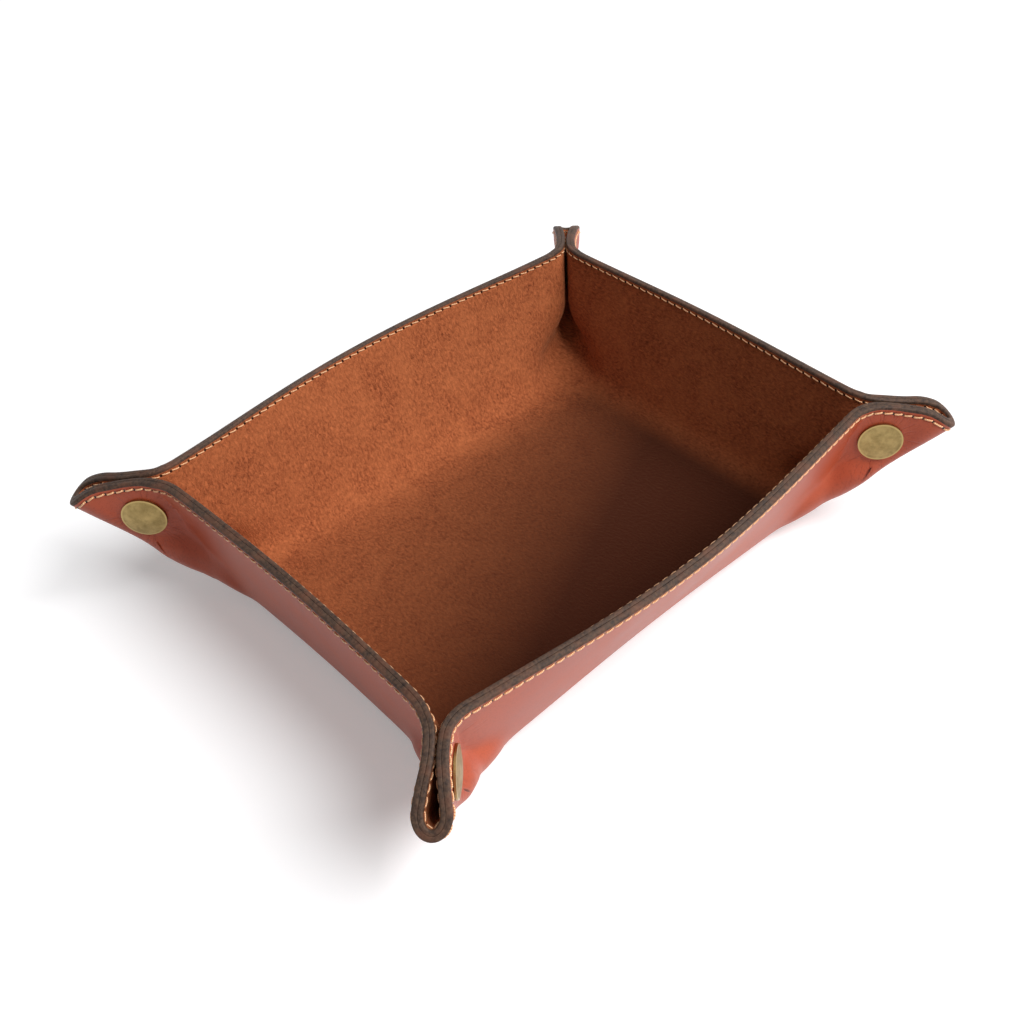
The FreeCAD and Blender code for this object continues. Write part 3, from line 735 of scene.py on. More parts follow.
def shell_faces(index, rows, edge_count):
    """Faces of a closed shell from its rings of vertex numbers, and which are painted edge."""
    columns, length = index.shape
    faces, painted, capped = [], [], []

    def add(corners, is_painted, is_cap):
        corners = list(dict.fromkeys(int(corner) for corner in corners))
        if len(corners) > 2:
            faces.append(corners)
            painted.append(is_painted)
            capped.append(is_cap)

    for column in range(columns - 1):
        here, ahead = index[column], index[column + 1]
        for spot in range(length):
            after = (spot + 1) % length
            is_edge = rows - 1 <= spot < rows + edge_count
            is_closing = spot == length - 1 or (edge_count == 0 and spot == rows - 1)
            corners = (here[spot], ahead[spot], ahead[after], here[after])
            add(corners, is_edge and edge_count > 0, is_closing)
    for spot in range(length // 2 - 1):
        across, further = length - 1 - spot, length - 2 - spot
        first, last = index[0], index[-1]
        add((first[spot], first[spot + 1], first[further], first[across]), False, True)
        add((last[spot], last[across], last[further], last[spot + 1]), False, True)
    return faces, painted, capped


# %% [markdown]
# ## Making the meshes
#
# Each layer of each piece is a closed shell. The shading normals come from the fold itself and
# not from the mesh, so two neighbouring pieces shade as one sheet. The flat place of every point
# is kept as the UV map, and its distance from the rim and along it as attributes, so that grain,
# stitch holes and the painted shade on the base can follow the real sheet when the pieces move.

# %% Measures along the rim
STITCH_FROM_RIM = 2.5
SUEDE_STITCH_FROM_RIM = 2.1
STITCHES_IN_QUARTER = 64
UV_SPAN = 0.3


def rim_gap(flat):
    """Distance of flat points from the rim, inward."""
    over = np.abs(flat) - ROUND_CENTRE
    outside = np.linalg.norm(np.maximum(over, 0), axis=-1)
    return CORNER_RADIUS - outside - np.minimum(over.max(-1), 0)


LONG_RUN = ROUND_CENTRE[0]
CORNER_RUN = (CORNER_RADIUS - STITCH_FROM_RIM) * math.pi / 2
QUARTER_RUN = LONG_RUN + CORNER_RUN + ROUND_CENTRE[1]
STITCH_PITCH = QUARTER_RUN / STITCHES_IN_QUARTER


def rim_run(flat):
    """Distance along the line of stitches, from the middle of the nearest long side."""
    x, y = np.abs(flat[..., 0]), np.abs(flat[..., 1])
    over = np.abs(flat) - ROUND_CENTRE
    angle = np.arctan2(np.maximum(over[..., 0], 0), np.maximum(over[..., 1], 1e-9))
    rounded = LONG_RUN + angle / (math.pi / 2) * CORNER_RUN
    beyond = LONG_RUN + CORNER_RUN + ROUND_CENTRE[1] - y
    in_corner = (over[..., 0] > 0) & (over[..., 1] > 0)
    on_long = HALF_WIDTH - y < HALF_LENGTH - x
    return np.where(in_corner, rounded, np.where(on_long, x, beyond))


print("stitch pitch, mm:", round(STITCH_PITCH, 3))


# %% Build one mesh object from points, faces and the sheet's measures
def smooth_mesh(name, points, faces, materials):
    """A smooth mesh of points in millimetres, in metres."""
    mesh = bpy.data.meshes.new(name)
    mesh.from_pydata((points / 1000).tolist(), [], faces)
    for material in materials:
        mesh.materials.append(material)
    mesh.polygons.foreach_set("use_smooth", np.ones(len(faces), bool))
    return mesh


def sheet_object(name, points, faces, materials, flat, normals, face_material, face_cap):
    """A mesh object with flat sheet coordinates and set normals."""
    mesh = smooth_mesh(name, points, faces, materials)
    mesh.polygons.foreach_set("material_index", np.array(face_material, np.int32))
    corner_vertices = np.zeros(len(mesh.loops), np.int32)
    mesh.loops.foreach_get("vertex_index", corner_vertices)
    uv = flat / 1000 / UV_SPAN + 0.5
    mesh.uv_layers.new(name="sheet").uv.foreach_set("vector", uv[corner_vertices].ravel())
    for label, values in (("rim_gap", rim_gap(flat)), ("rim_run", rim_run(flat))):
        attribute = mesh.attributes.new(label, "FLOAT", "POINT")
        attribute.data.foreach_set("value", values.astype(np.float32))
    counts = [len(face) for face in faces]
    is_cap = np.repeat(np.array(face_cap, bool), counts)
    corner_normals = np.where(is_cap[:, None], 0.0, normals[corner_vertices])
    mesh.normals_split_custom_set(corner_normals.tolist())
    mesh.validate()
    return new_object(name, mesh)


def ring_normals(folding, depths, rows, layer, edge_count):
    """Outward normals of a layer's rings: up on top, down underneath, and round its edge."""
    up = folding.normals(depths)
    outward = up.copy()
    outward[:, rows:] *= -1
    if edge_count:
        edge = np.array(LAYERS[layer]["edge"])
        ends = np.array([[0.4, 0.0]])
        slope = unit(np.gradient(np.concatenate([edge[:1] + ends, edge, edge[-1:] + ends]), axis=0))
        slope = slope[1:-1]
        band = slice(rows, rows + edge_count)
        places = folding.places(depths)
        to_rim = unit(places[:, rows] - places[:, rows - 2])[:, None]
        outward[:, band] = unit(to_rim * slope[None, :, 1:] - up[:, band] * slope[None, :, :1])
    return outward


def layer_piece(name, layer, net, rim, materials):
    """One layer of one piece of the sheet, as a closed shell."""
    flats, depths = ring_of_points(net, rim, layer)
    rows = net.shape[1]
    edge_count = flats.shape[1] - 2 * rows
    folding = Folding(flats[..., 0], flats[..., 1])
    places = folding.places(depths)
    normals = ring_normals(folding, depths, rows, layer, edge_count)
    index = np.arange(depths.size).reshape(depths.shape)
    if np.ptp(flats[:, 0], axis=0).max() < 1e-6:
        index[:, 0] = index[0, 0]
        index[:, -1] = index[0, -1]
    used, index = np.unique(index, return_inverse=True)
    faces, painted, capped = shell_faces(index.reshape(depths.shape), rows, edge_count)
    column, row = len(net) // 2, rows // 2
    corner = places[column, row]
    across, along = places[column + 1, row] - corner, places[column, row + 1] - corner
    if dot(np.cross(across, along), normals[column, row]) < 0:
        faces = [face[::-1] for face in faces]
    return sheet_object(
        name, places.reshape(-1, 3)[used], faces, materials, flats.reshape(-1, 2)[used],
        normals.reshape(-1, 3)[used], painted, capped,
    )


# %% [markdown]
# ## Finishes
#
# Colours are written as sRGB hex values and turned to linear by one function. One small function
# adds a node, gives it its settings, and links or fills its inputs.

# %% Colour and node helpers
SMOOTH = {"interpolation_type": "SMOOTHSTEP"}
COLOUR = {"data_type": "RGBA"}


def linear(hex_colour):
    """Linear red, green, blue and alpha of an sRGB hex colour."""
    values = [int(hex_colour[start:start + 2], 16) / 255 for start in (1, 3, 5)]
    curve = [v / 12.92 if v <= 0.04045 else ((v + 0.055) / 1.055) ** 2.4 for v in values]
    return (*curve, 1.0)


def add_node(material, kind, settings=None, inputs=None):
    """A new node. An input gets a value, or a link where the value is a node or a socket.

    Settings are named values, or one word where the operation is all that is set.
    """
    if isinstance(settings, str):
        settings = {"operation": settings}
    tree = material.node_tree
    node = tree.nodes.new("ShaderNode" + kind)
    for name, value in (settings or {}).items():
        setattr(node, name, value)
    for name, value in (inputs or {}).items():
        if isinstance(value, bpy.types.Node):
            value = value.outputs[0]
        if isinstance(value, bpy.types.NodeSocket):
            tree.links.new(value, node.inputs[name])
        else:
            node.inputs[name].default_value = value
    return node


def new_material(name):
    """A material with an empty node tree, and the function that adds nodes to it."""
    material = bpy.data.materials.new(name)
    material.use_nodes = True
    material.node_tree.nodes.clear()
    return material, partial(add_node, material)


def finish_surface(add, first_colour, colours, roughness, heights, **plain_values):
    """Shader and output of a finish.

    Each colour is laid over those before it by its own share. The heights are patterns with the
    millimetres that each adds to the bump.
    """
    tone, height = first_colour, 0.0
    for share, colour in colours:
        tone = add("Mix", COLOUR, {0: share, 6: tone, 7: linear(colour)}).outputs[2]
    for pattern, amount in heights:
        height = add("Math", "MULTIPLY_ADD", {0: pattern, 1: amount, 2: height})
    bump = add("Bump", inputs={"Height": height, "Distance": 0.001})
    linked = {"Base Color": tone, "Roughness": roughness, "Normal": bump}
    shader = add("BsdfPrincipled", inputs={**linked, **plain_values})
    add("OutputMaterial", inputs={"Surface": shader})


# %% [markdown]
# ### Leather
#
# The outside is full-grain cowhide, drum dyed brown-red, pressed smooth and sealed with a thin
# semi-gloss finish. The eye gets a broad soft shine, very fine pores about half a millimetre
# apart, slow changes of colour over some centimetres, and fine wrinkles that fan out from the
# studs, where the sheet is pinched, with painted shade in their folds. The row of stitches lies
# in a shallow groove, and the open hole between two stitches is painted dark as the shade
# inside it.
# Every pattern is laid out on the flat sheet in millimetres, so a texture scale of one divided
# by a size in millimetres gives marks of that size.

# %% Patterns on the flat sheet
SNAP_ALONG = WALL_DEPTH - SNAP_FROM_END
SNAP_OUT = WALL_DEPTH - SNAP_FROM_RIM
WRINKLES_START, WRINKLES_FULL, WRINKLES_FADE, WRINKLES_STOP = 6.5, 9.0, 12.0, 26.0
GROOVE_EDGE, GROOVE_FLOOR = 1.0, 0.2
HOLE_EDGE, HOLE_FLOOR = 0.6, 0.3


def sheet_place(add):
    """Flat place on the sheet in millimetres, from the UV map."""
    uv = add("UVMap", {"uv_map": "sheet"})
    centred = add("VectorMath", "SUBTRACT", {0: uv, 1: (0.5, 0.5, 0)})
    return add("VectorMath", "MULTIPLY", {0: centred, 1: (UV_SPAN * 1000,) * 3})


def snap_wrinkles(add, flat):
    """Height of fine wrinkles that fan out round each stud, from 0 to 1."""
    mirrored = add("VectorMath", "ABSOLUTE", {0: flat})
    past = add("VectorMath", "SUBTRACT", {0: mirrored, 1: (FOLD_X, FOLD_Y, 0)})
    past = add("SeparateXYZ", inputs={0: past})
    ends = {0: past.outputs[0], 1: past.outputs[1]}
    along = add("Math", "MINIMUM", ends)
    out = add("Math", "MAXIMUM", ends)
    right = add("Math", "SUBTRACT", {0: along, 1: SNAP_ALONG})
    up = add("Math", "SUBTRACT", {0: out, 1: SNAP_OUT})
    angle = add("Math", "ARCTAN2", {0: up, 1: right})
    offset = add("CombineXYZ", inputs={0: right, 1: up})
    distance = add("VectorMath", "LENGTH", {0: offset}).outputs["Value"]
    quarter = add("VectorMath", "SIGN", {0: flat})
    quarter = add("VectorMath", "DOT_PRODUCT", {0: quarter, 1: (3.1, 1.7, 0)})
    fan = add("CombineXYZ", inputs={0: angle, 1: distance, 2: quarter.outputs["Value"]})
    fan = add("VectorMath", "MULTIPLY", {0: fan, 1: (11.0, 0.1, 1.0)})
    noise = add("TexNoise", inputs={"Vector": fan, "Scale": 1.0, "Detail": 3.0})
    lines = add("MapRange", SMOOTH, {0: noise, 1: 0.54, 2: 0.66})
    start = add("MapRange", SMOOTH, {0: distance, 1: WRINKLES_START, 2: WRINKLES_FULL})
    stop = add("MapRange", SMOOTH, {0: distance, 1: WRINKLES_STOP, 2: WRINKLES_FADE})
    both = add("Math", "MULTIPLY", {0: start, 1: stop})
    return add("Math", "MULTIPLY", {0: lines, 1: both})


def stitch_line(add, from_rim):
    """How deep a point lies in the groove of the stitches, and in a stitch hole, from 0 to 1."""
    gap = add("Attribute", {"attribute_name": "rim_gap"}).outputs["Fac"]
    run = add("Attribute", {"attribute_name": "rim_run"}).outputs["Fac"]
    side = add("Math", "SUBTRACT", {0: gap, 1: from_rim})
    aside = add("Math", "ABSOLUTE", {0: side})
    groove = add("MapRange", SMOOTH, {0: aside, 1: GROOVE_EDGE, 2: GROOVE_FLOOR})
    beat = add("Math", "PINGPONG", {0: run, 1: STITCH_PITCH / 2})
    spot = add("CombineXYZ", inputs={0: beat, 1: side})
    spread = add("VectorMath", "LENGTH", {0: spot}).outputs["Value"]
    hole = add("MapRange", SMOOTH, {0: spread, 1: HOLE_EDGE, 2: HOLE_FLOOR})
    return groove, hole


# %% Leather finish
def drum_dyed_leather():
    """Smooth full-grain leather with a semi-gloss sealed surface."""
    material, add = new_material("drum_dyed_leather")
    flat = sheet_place(add)
    groove, hole = stitch_line(add, STITCH_FROM_RIM)
    wrinkles = snap_wrinkles(add, flat)
    clouds = add("TexNoise",
                 inputs={"Vector": flat, "Scale": 1 / 30, "Detail": 4.0, "Roughness": 0.6})
    dye = add("MapRange", inputs={0: clouds, 1: 0.3, 2: 0.7})
    tone = add("Mix", COLOUR, {0: dye, 6: linear("#9c4026"), 7: linear("#b05032")})
    pores = add("TexVoronoi", inputs={"Vector": flat, "Scale": 1 / 0.7})
    pits = add("MapRange", inputs={0: pores, 1: 0.0, 2: 0.45})
    tone = add("Mix", {**COLOUR, "blend_type": "MULTIPLY"}, {0: 0.25, 6: tone.outputs[2], 7: pits})
    fine = add("TexNoise", inputs={"Vector": flat, "Scale": 1 / 0.4, "Detail": 3.0})
    # The groove of the stitches is darker, and the folds of the wrinkles carry painted shade.
    dark = add("Math", "MULTIPLY", {0: groove, 1: 0.25})
    crease = add("Math", "MULTIPLY", {0: wrinkles, 1: 0.22})
    rough = add("MapRange", inputs={0: clouds, 1: 0.3, 2: 0.7, 3: 0.36, 4: 0.46})
    # Of these colours, the one in the wrinkles and the one in the stitch holes are painted shade.
    finish_surface(
        add, tone.outputs[2], [(dark, "#5c2012"), (crease, "#7a2b18"), (hole, "#1c0a06")], rough,
        [(pits, 0.012), (fine, 0.012), (wrinkles, -0.09), (groove, -0.16), (hole, -0.6)],
        **{"IOR": 1.5, "Specular IOR Level": 0.25, "Coat Weight": 0.08, "Coat Roughness": 0.3},
    )
    return material


# %% [markdown]
# ### Suede
#
# The lining is split suede, buffed to a short nap. Its fibres are a few hundredths of a
# millimetre thick, too fine to show, so they are drawn as clumps of about half a millimetre, as
# the photograph shows them. Light that grazes the nap brightens it, which is a sheen. Brushed
# patches some centimetres wide lie lighter or darker. On the base the suede is painted darker as
# shade, most towards the front and the right, where the walls shade it from the lamp, and the
# stitch holes are painted dark as the shade inside them. Nothing on it shines.

# %% Suede finish
# Along the way towards the front and right of the base: where the painted shade is lightest, and where it is full.
SHADE_BACK, SHADE_FRONT = -50.0, 24.0


def buffed_suede():
    """Rust-brown split suede with a short brushed nap."""
    material, add = new_material("buffed_suede")
    flat = sheet_place(add)
    groove, hole = stitch_line(add, SUEDE_STITCH_FROM_RIM)
    patches = add("TexNoise",
                  inputs={"Vector": flat, "Scale": 1 / 16, "Detail": 3.0, "Distortion": 1.2})
    lay = add("VectorMath", "MULTIPLY", {0: flat, 1: (1.0, 0.55, 1.0)})
    clumps = add("TexNoise", inputs={
        "Vector": lay, "Scale": 1 / 0.9, "Detail": 5.0, "Roughness": 0.72, "Distortion": 0.6})
    nap = add("MapRange", inputs={0: clumps, 1: 0.3, 2: 0.7})
    brushed = add("MapRange", inputs={0: patches, 1: 0.3, 2: 0.7})
    light = add("Math", "MULTIPLY", {0: brushed, 1: 0.4})
    inside = add("VectorMath", "ABSOLUTE", {0: flat})
    inside = add("SeparateXYZ", inputs={0: inside})
    across = add("SeparateXYZ", inputs={0: flat}).outputs[1]
    # Painted shade on the base: darker towards the front and the right, where the walls shade it from the lamp, and
    # faded out up the walls.
    used = add("VectorMath", "DOT_PRODUCT", {0: flat, 1: (0.4, -0.9, 0)})
    used = add("MapRange",
               inputs={0: used.outputs["Value"], 1: SHADE_BACK, 2: SHADE_FRONT, 3: 0.3, 4: 1.0})
    for place, outer, inner in (
        (inside.outputs[0], FOLD_X + 8, FOLD_X - 10),
        (across, FOLD_Y + 4, FOLD_Y - 22),
        (across, -FOLD_Y - 22, -FOLD_Y - 2),
    ):
        share = add("MapRange", SMOOTH, {0: place, 1: outer, 2: inner})
        used = add("Math", "MULTIPLY", {0: used, 1: share})
    rough = add("MapRange", inputs={0: clumps, 3: 0.85, 4: 1.0})
    # The last two colours are painted shade: inside the stitch holes, and on the shaded front of the base.
    finish_surface(
        add, linear("#5c2611"),
        [(nap, "#c06c42"), (light, "#c07044"), (hole, "#2a1008"), (used, "#3d1809")], rough,
        [(clumps, 0.5), (groove, -0.2), (hole, -0.5)],
        **{"Sheen Weight": 0.25, "Sheen Roughness": 0.4, "Sheen Tint": linear("#e8a878"),
           "Specular IOR Level": 0.15},
    )
    return material


# %% [markdown]
# ### Painted edge
#
# The cut edge of both layers is sanded and painted with a dark brown-grey edge paint. Two coats
# are rolled on, so fibre ends still show as small dull lumps, and the brown of the leather comes
# through where the coat is thin.

# %% Edge paint
def edge_paint():
    """Dark, nearly matt paint over the fibres of the cut edge."""
    material, add = new_material("edge_paint")
    place = add("TexCoord").outputs["Object"]
    lumps = add("TexNoise",
                inputs={"Vector": place, "Scale": 1000 / 1.1, "Detail": 4.0, "Roughness": 0.65})
    thin = add("TexNoise", inputs={"Vector": place, "Scale": 1000 / 7, "Detail": 3.0})
    grey = add("MapRange", inputs={0: lumps, 1: 0.35, 2: 0.65})
    worn = add("MapRange", inputs={0: thin, 1: 0.5, 2: 0.75, 4: 0.5})
    rough = add("MapRange", inputs={0: lumps, 3: 0.5, 4: 0.75})
    finish_surface(add, linear("#2a1d17"), [(grey, "#594335"), (worn, "#774a36")], rough,
                   [(lumps, 0.16)], **{"Specular IOR Level": 0.25})
    return material


# %% [markdown]
# ### Thread
#
# The seam is sewn with waxed polyester thread, three strands twisted together, orange-gold. The
# twist is worked out from the thread's own UV map: along it in millimetres, and round it. The
# crown of each strand is painted paler, as a highlight.

# %% Thread finish
THREAD_TWIST = 0.55


def waxed_thread():
    """Twisted polyester with a slight wax shine, and a painted highlight on each strand's crown."""
    material, add = new_material("waxed_thread")
    uv = add("SeparateXYZ", inputs={0: add("UVMap", {"uv_map": "thread"})})
    turn = add("Math", "MULTIPLY", {0: uv.outputs[1], 1: 2 * math.pi})
    phase = add("Math", "MULTIPLY_ADD", {0: uv.outputs[0], 1: 2 * math.pi / THREAD_TWIST, 2: turn})
    strands = add("Math", "SINE", {0: phase})
    round_strand = add("MapRange", inputs={0: strands, 1: -1.0, 2: 1.0})
    rough = add("MapRange", inputs={0: round_strand, 3: 0.5, 4: 0.35})
    # The paler colour on the crown of each strand is a painted highlight.
    finish_surface(add, linear("#cf8044"), [(round_strand, "#ffd6a6")], rough,
                   [(round_strand, 0.07)], **{"Sheen Weight": 0.2})
    return material


# %% [markdown]
# ### Brass
#
# The studs are stamped brass with an antique finish: darkened in a bath, then wiped and
# lacquered. The tone stays mottled, and the raised rim is rubbed bright. The distance from the
# stud's own axis tells where the rim is.

# %% Antique brass finish
CAP_RADIUS = 7.5
RUBBED_FROM, RUBBED_TO = 0.75, 0.25


def antique_brass(name, centre, axis):
    """Mottled brass for one stud, brighter on the rim of its cap."""
    material, add = new_material(name)
    place = add("TexCoord").outputs["Object"]
    offset = add("VectorMath", "SUBTRACT", {0: place, 1: centre})
    arm = add("VectorMath", "CROSS_PRODUCT", {0: offset, 1: axis})
    radius = add("VectorMath", "LENGTH", {0: arm}).outputs["Value"]
    rubbed = add("MapRange", SMOOTH, {
        0: radius, 1: (CAP_RADIUS - RUBBED_FROM) / 1000, 2: (CAP_RADIUS - RUBBED_TO) / 1000})
    blotches = add("TexNoise",
                   inputs={"Vector": place, "Scale": 1000 / 3.5, "Detail": 5.0, "Roughness": 0.65})
    aged = add("MapRange", inputs={0: blotches, 1: 0.32, 2: 0.68})
    worn = add("MapRange", inputs={0: aged, 3: 0.48, 4: 0.36})
    rough = add("Mix", inputs={0: rubbed, 2: worn, 3: 0.3})
    finish_surface(add, linear("#7d6a42"), [(aged, "#a08a5b"), (rubbed, "#a8915f")], rough,
                   [(blotches, 0.02)], Metallic=1.0)
    return material


LEATHER = drum_dyed_leather()
SUEDE = buffed_suede()
EDGE = edge_paint()
THREAD = waxed_thread()
print("finishes:", [material.name for material in bpy.data.materials])

# %% [markdown]
# ## Lay the sheet
#
# Each piece of the sheet gets its lining, with its suede face up, and its leather. A piece bends
# between its two bodies: the start and end of the bend are points on the sheet itself.

# %% Pieces of the sheet, with the bodies they bend between
BASE_BEND_ENDS = (-6.0, 5.0)
EAR_PIECES = (
    # piece, node, its rays, the rays where its bend starts and ends, and how far out on them
    ("crease", "ear", CREASE_RAYS, EAR.stops[:2], 26.0),
    ("ridge", "tip", RIDGE_RAYS, (EAR.stops[2], math.pi / 4), 45.0),
)


def space_point(along, out, side, corner_signs):
    """Place in metres, halfway through the sheet, of a point past a fold corner."""
    if side == "short":
        along, out = out, along
    x = np.array([corner_signs[0] * (FOLD_X + along)])
    y = np.array([corner_signs[1] * (FOLD_Y + out)])
    return tuple(Folding(x, y).places(THICKNESS / 2)[0] / 1000)


def ray_point(angle, distance, side, corner_signs):
    """Place in metres of a point on a ray, halfway through the sheet."""
    along, out = distance * math.sin(angle), distance * math.cos(angle)
    return space_point(along, out, side, corner_signs)


def listed_pieces():
    """Every piece of the sheet: name, net, rim, its bodies, where it bends, and its nodes."""
    listed = [{"name": "base", "net": base_net(), "bodies": ("base",), "node": "base"}]
    for wall, (side, sign) in WALLS.items():
        middle = -FOLD_X if side == "long" else -FOLD_Y
        ends = [space_point(middle, out, side, (sign, sign)) for out in BASE_BEND_ENDS]
        listed.append({
            "name": f"wall_{wall}", "net": wall_net(side, sign),
            "bodies": ("base", f"wall_{wall}"), "ends": ends, "node": f"wall_{wall}",
        })
    for corner, corner_signs in CORNERS.items():
        walls = {"long": corner.split("_")[0], "short": corner.split("_")[1]}
        for side, wall in walls.items():
            ear = f"{corner}_{side}"
            chain = [f"wall_{wall}", f"flap_{ear}", f"tip_{ear}"]
            for bodies, (kind, node, rays, stops, distance) in zip((chain[:2], chain[1:]), EAR_PIECES):
                listed.append({
                    "name": f"{kind}_{ear}", "net": fan_net(rays, side, corner_signs),
                    "bodies": tuple(bodies), "node": f"{node}_{ear}",
                    "ends": [ray_point(stop, distance, side, corner_signs) for stop in stops],
                })
    return listed


SHEET_PIECES = listed_pieces()
print(len(SHEET_PIECES), "pieces of the sheet")


# %% Build both layers of every piece
def follow(piece, spec):
    """The piece rides on its one body, or bends between its two."""
    if len(spec["bodies"]) == 1:
        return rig.ride(piece, spec["bodies"][0])
    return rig.blend(piece, *spec["bodies"], start=spec["ends"][0], end=spec["ends"][1])


for spec in SHEET_PIECES:
    net, rim = spec["net"]
    for layer, face, slot in (("lining", SUEDE, "suede"), ("leather", LEATHER, "leather")):
        piece = layer_piece(f"{layer}_{spec['name']}", layer, net, rim, [face, EDGE])
        follow(piece, spec)
        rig.replaces(piece, f"{spec['node']}_{layer}")
        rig.slot(piece, slot)

# %% [markdown]
# ## Sew the edge
#
# The seam is a run of short stitches round the whole rim, on both faces. Each stitch is a thread
# that dips into its holes at both ends, and lies a little slanted, as a sewn stitch does when
# the needle leaves a slanting hole. A short tube per stitch is laid on the folded sheet.

# %% Stitches of one quarter, in the flat sheet
SEAMS = [
    {"depth": 0.0, "lift": 1, "from_rim": SUEDE_STITCH_FROM_RIM, "radius": 0.23},
    {"depth": THICKNESS, "lift": -1, "from_rim": STITCH_FROM_RIM, "radius": 0.34},
]
STITCH_SLANT = 0.22
STITCH_END = 0.55
TUBE_SIDES = 6
TUBE_FLATNESS = 0.85
SHARES = np.array([-1.0, -0.86, -0.55, 0.0, 0.55, 0.86, 1.0])
LIFTS = np.array([-0.5, -0.05, 0.16, 0.22, 0.16, -0.05, -0.5])


def seam_point(run, gap):
    """Flat point of one quarter, by its run along the seam and its gap from the rim."""
    angle = np.clip((run - LONG_RUN) / CORNER_RUN, 0, 1) * math.pi / 2
    x = np.minimum(run, LONG_RUN) + (CORNER_RADIUS - gap) * np.sin(angle)
    beyond = np.maximum(run - LONG_RUN - CORNER_RUN, 0)
    y = ROUND_CENTRE[1] - beyond + (CORNER_RADIUS - gap) * np.cos(angle)
    return x, y


def owner(x, y, corner):
    """Name of the piece of the sheet that a stitch belongs to."""
    along, out = abs(x) - FOLD_X, abs(y) - FOLD_Y
    side = "long" if out >= along else "short"
    angle = math.atan2(min(along, out), max(along, out))
    if angle <= 0:
        return "wall_" + corner.split("_")[0 if side == "long" else 1]
    return f"{'crease' if angle < RIDGE_START else 'ridge'}_{corner}_{side}"


def stitch_tubes(corner_signs, depth, lift_side, from_rim, radius):
    """Rings of points of every stitch in a quarter, on one face of the sheet."""
    middles = (np.arange(STITCHES_IN_QUARTER) + 0.5) * STITCH_PITCH
    half = STITCH_PITCH / 2 - STITCH_END / 2
    run = middles[:, None] + SHARES[None, :] * half
    slant = STITCH_SLANT * corner_signs[0] * corner_signs[1]
    x, y = seam_point(run, from_rim + slant * SHARES[None, :])
    folding = Folding(x * corner_signs[0], y * corner_signs[1])
    up = folding.normals(depth) * lift_side
    line = folding.places(depth) + up * LIFTS[None, :, None]
    forward = unit(np.gradient(line, axis=1))
    aside = unit(np.cross(up, forward))
    over = np.cross(forward, aside)
    turn = np.linspace(0, 2 * math.pi, TUBE_SIDES, endpoint=False)
    rings = (aside[:, :, None] * np.cos(turn)[None, None, :, None] * radius
             + over[:, :, None] * np.sin(turn)[None, None, :, None] * radius * TUBE_FLATNESS)
    middle = len(SHARES) // 2
    return line[:, :, None] + rings, list(zip(x[:, middle], y[:, middle]))


# %% Gather the stitches by piece and build them
def tube_faces(start):
    """Faces of one stitch tube, with its two ends closed, for vertices from start on."""
    ring = np.arange(TUBE_SIDES)
    rows = [(start + section * TUBE_SIDES + ring).tolist() for section in range(len(SHARES))]
    faces = []
    for here, ahead in zip(rows, rows[1:]):
        faces += [[here[k], here[k - 1], ahead[k - 1], ahead[k]] for k in ring]
    return [*faces, rows[0], rows[-1][::-1]]


def thread_object(name, tubes):
    """One mesh of all the stitches of a piece."""
    points = np.concatenate(tubes).reshape(-1, 3)
    in_tube = len(SHARES) * TUBE_SIDES
    faces = [face for k in range(len(tubes)) for face in tube_faces(k * in_tube)]
    mesh = smooth_mesh(name, points, faces, [THREAD])
    layer = mesh.uv_layers.new(name="thread")
    for loop in mesh.loops:
        spot = loop.vertex_index % in_tube
        along = SHARES[spot // TUBE_SIDES] * STITCH_PITCH / 2
        layer.uv[loop.index].vector = (along, spot % TUBE_SIDES / TUBE_SIDES)
    return new_object(name, mesh)


stitches = {}
for corner, corner_signs in CORNERS.items():
    for seam in SEAMS:
        tubes, owners = stitch_tubes(corner_signs, *seam.values())
        for tube, (x, y) in zip(tubes, owners):
            stitches.setdefault(owner(x, y, corner), []).append(tube[None])
for spec in SHEET_PIECES:
    if spec["name"] in stitches:
        piece = thread_object(f"thread_{spec['name']}", stitches[spec["name"]])
        follow(piece, spec)
print("stitches:", sum(len(tubes) for tubes in stitches.values()))

# %% [markdown]
# ## Say what each piece was cut from
#
# Every piece of leather and suede is a folded sheet. Its flat size is the smallest rectangle
# that its flat outline fits in. Its area is half that of the flat shell, edges among it, because
# a shell's surface is counted as two layers.

def cut_size(net, rim, thickness):
    """Width, length and area in metres of a flat piece, in the smallest rectangle round it."""
    last = net[:, -1] if rim is None else rim[0]
    outline = np.concatenate([net[:, 0], net[-1, 1:-1], last[::-1], net[0, ::-1]]) / 1000
    ahead = np.roll(outline, -1, axis=0)
    area = abs(np.sum(outline[:, 0] * ahead[:, 1] - ahead[:, 0] * outline[:, 1])) / 2
    area += np.linalg.norm(ahead - outline, axis=1).sum() * thickness / 1000 / 2
    sizes = []
    for angle in np.radians(np.arange(0, 90, 1.0)):
        across = np.array([math.cos(angle), math.sin(angle)])
        along = np.array([-across[1], across[0]])
        sizes.append((np.ptp(outline @ across), np.ptp(outline @ along)))
    width, length = min(sizes, key=math.prod)
    return float(width), float(length), float(min(area, width * length))


def declare_sheets():
    """Each layer of each piece is a folded sheet that hangs on its neighbour."""
    for spec in SHEET_PIECES:
        name, bodies = spec["name"], spec["bodies"]
        thread = bpy.data.objects.get(f"thread_{name}")
        kind, _, ear = name.partition("_")
        held_by = {"wall": "base", "crease": bodies[0], "ridge": f"crease_{ear}"}.get(kind)
        for layer, section in LAYERS.items():
            width, length, area = cut_size(*spec["net"], section["bottom"] - section["top"])
            rests_on = [f"leather_{name}"] if layer == "lining" else []
            if held_by:
                rests_on.append(f"{layer}_{held_by}")
            with_pieces = [thread] if thread and layer == "leather" else []
            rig.sheet(bpy.data.objects[f"{layer}_{name}"], flat=(width, length), held="folded",
                     area=area, rests_on=rests_on, with_pieces=with_pieces)


declare_sheets()
print("flat size of the base, metres:", [round(v, 4) for v in cut_size(*base_net(), LINING)])

# %% [markdown]
# ## Press studs
#
# The caps, sockets, studs and eyelets keep the shapes that they have in the CAD model, because
# they are stiff metal with true profiles. They get the brass finish.

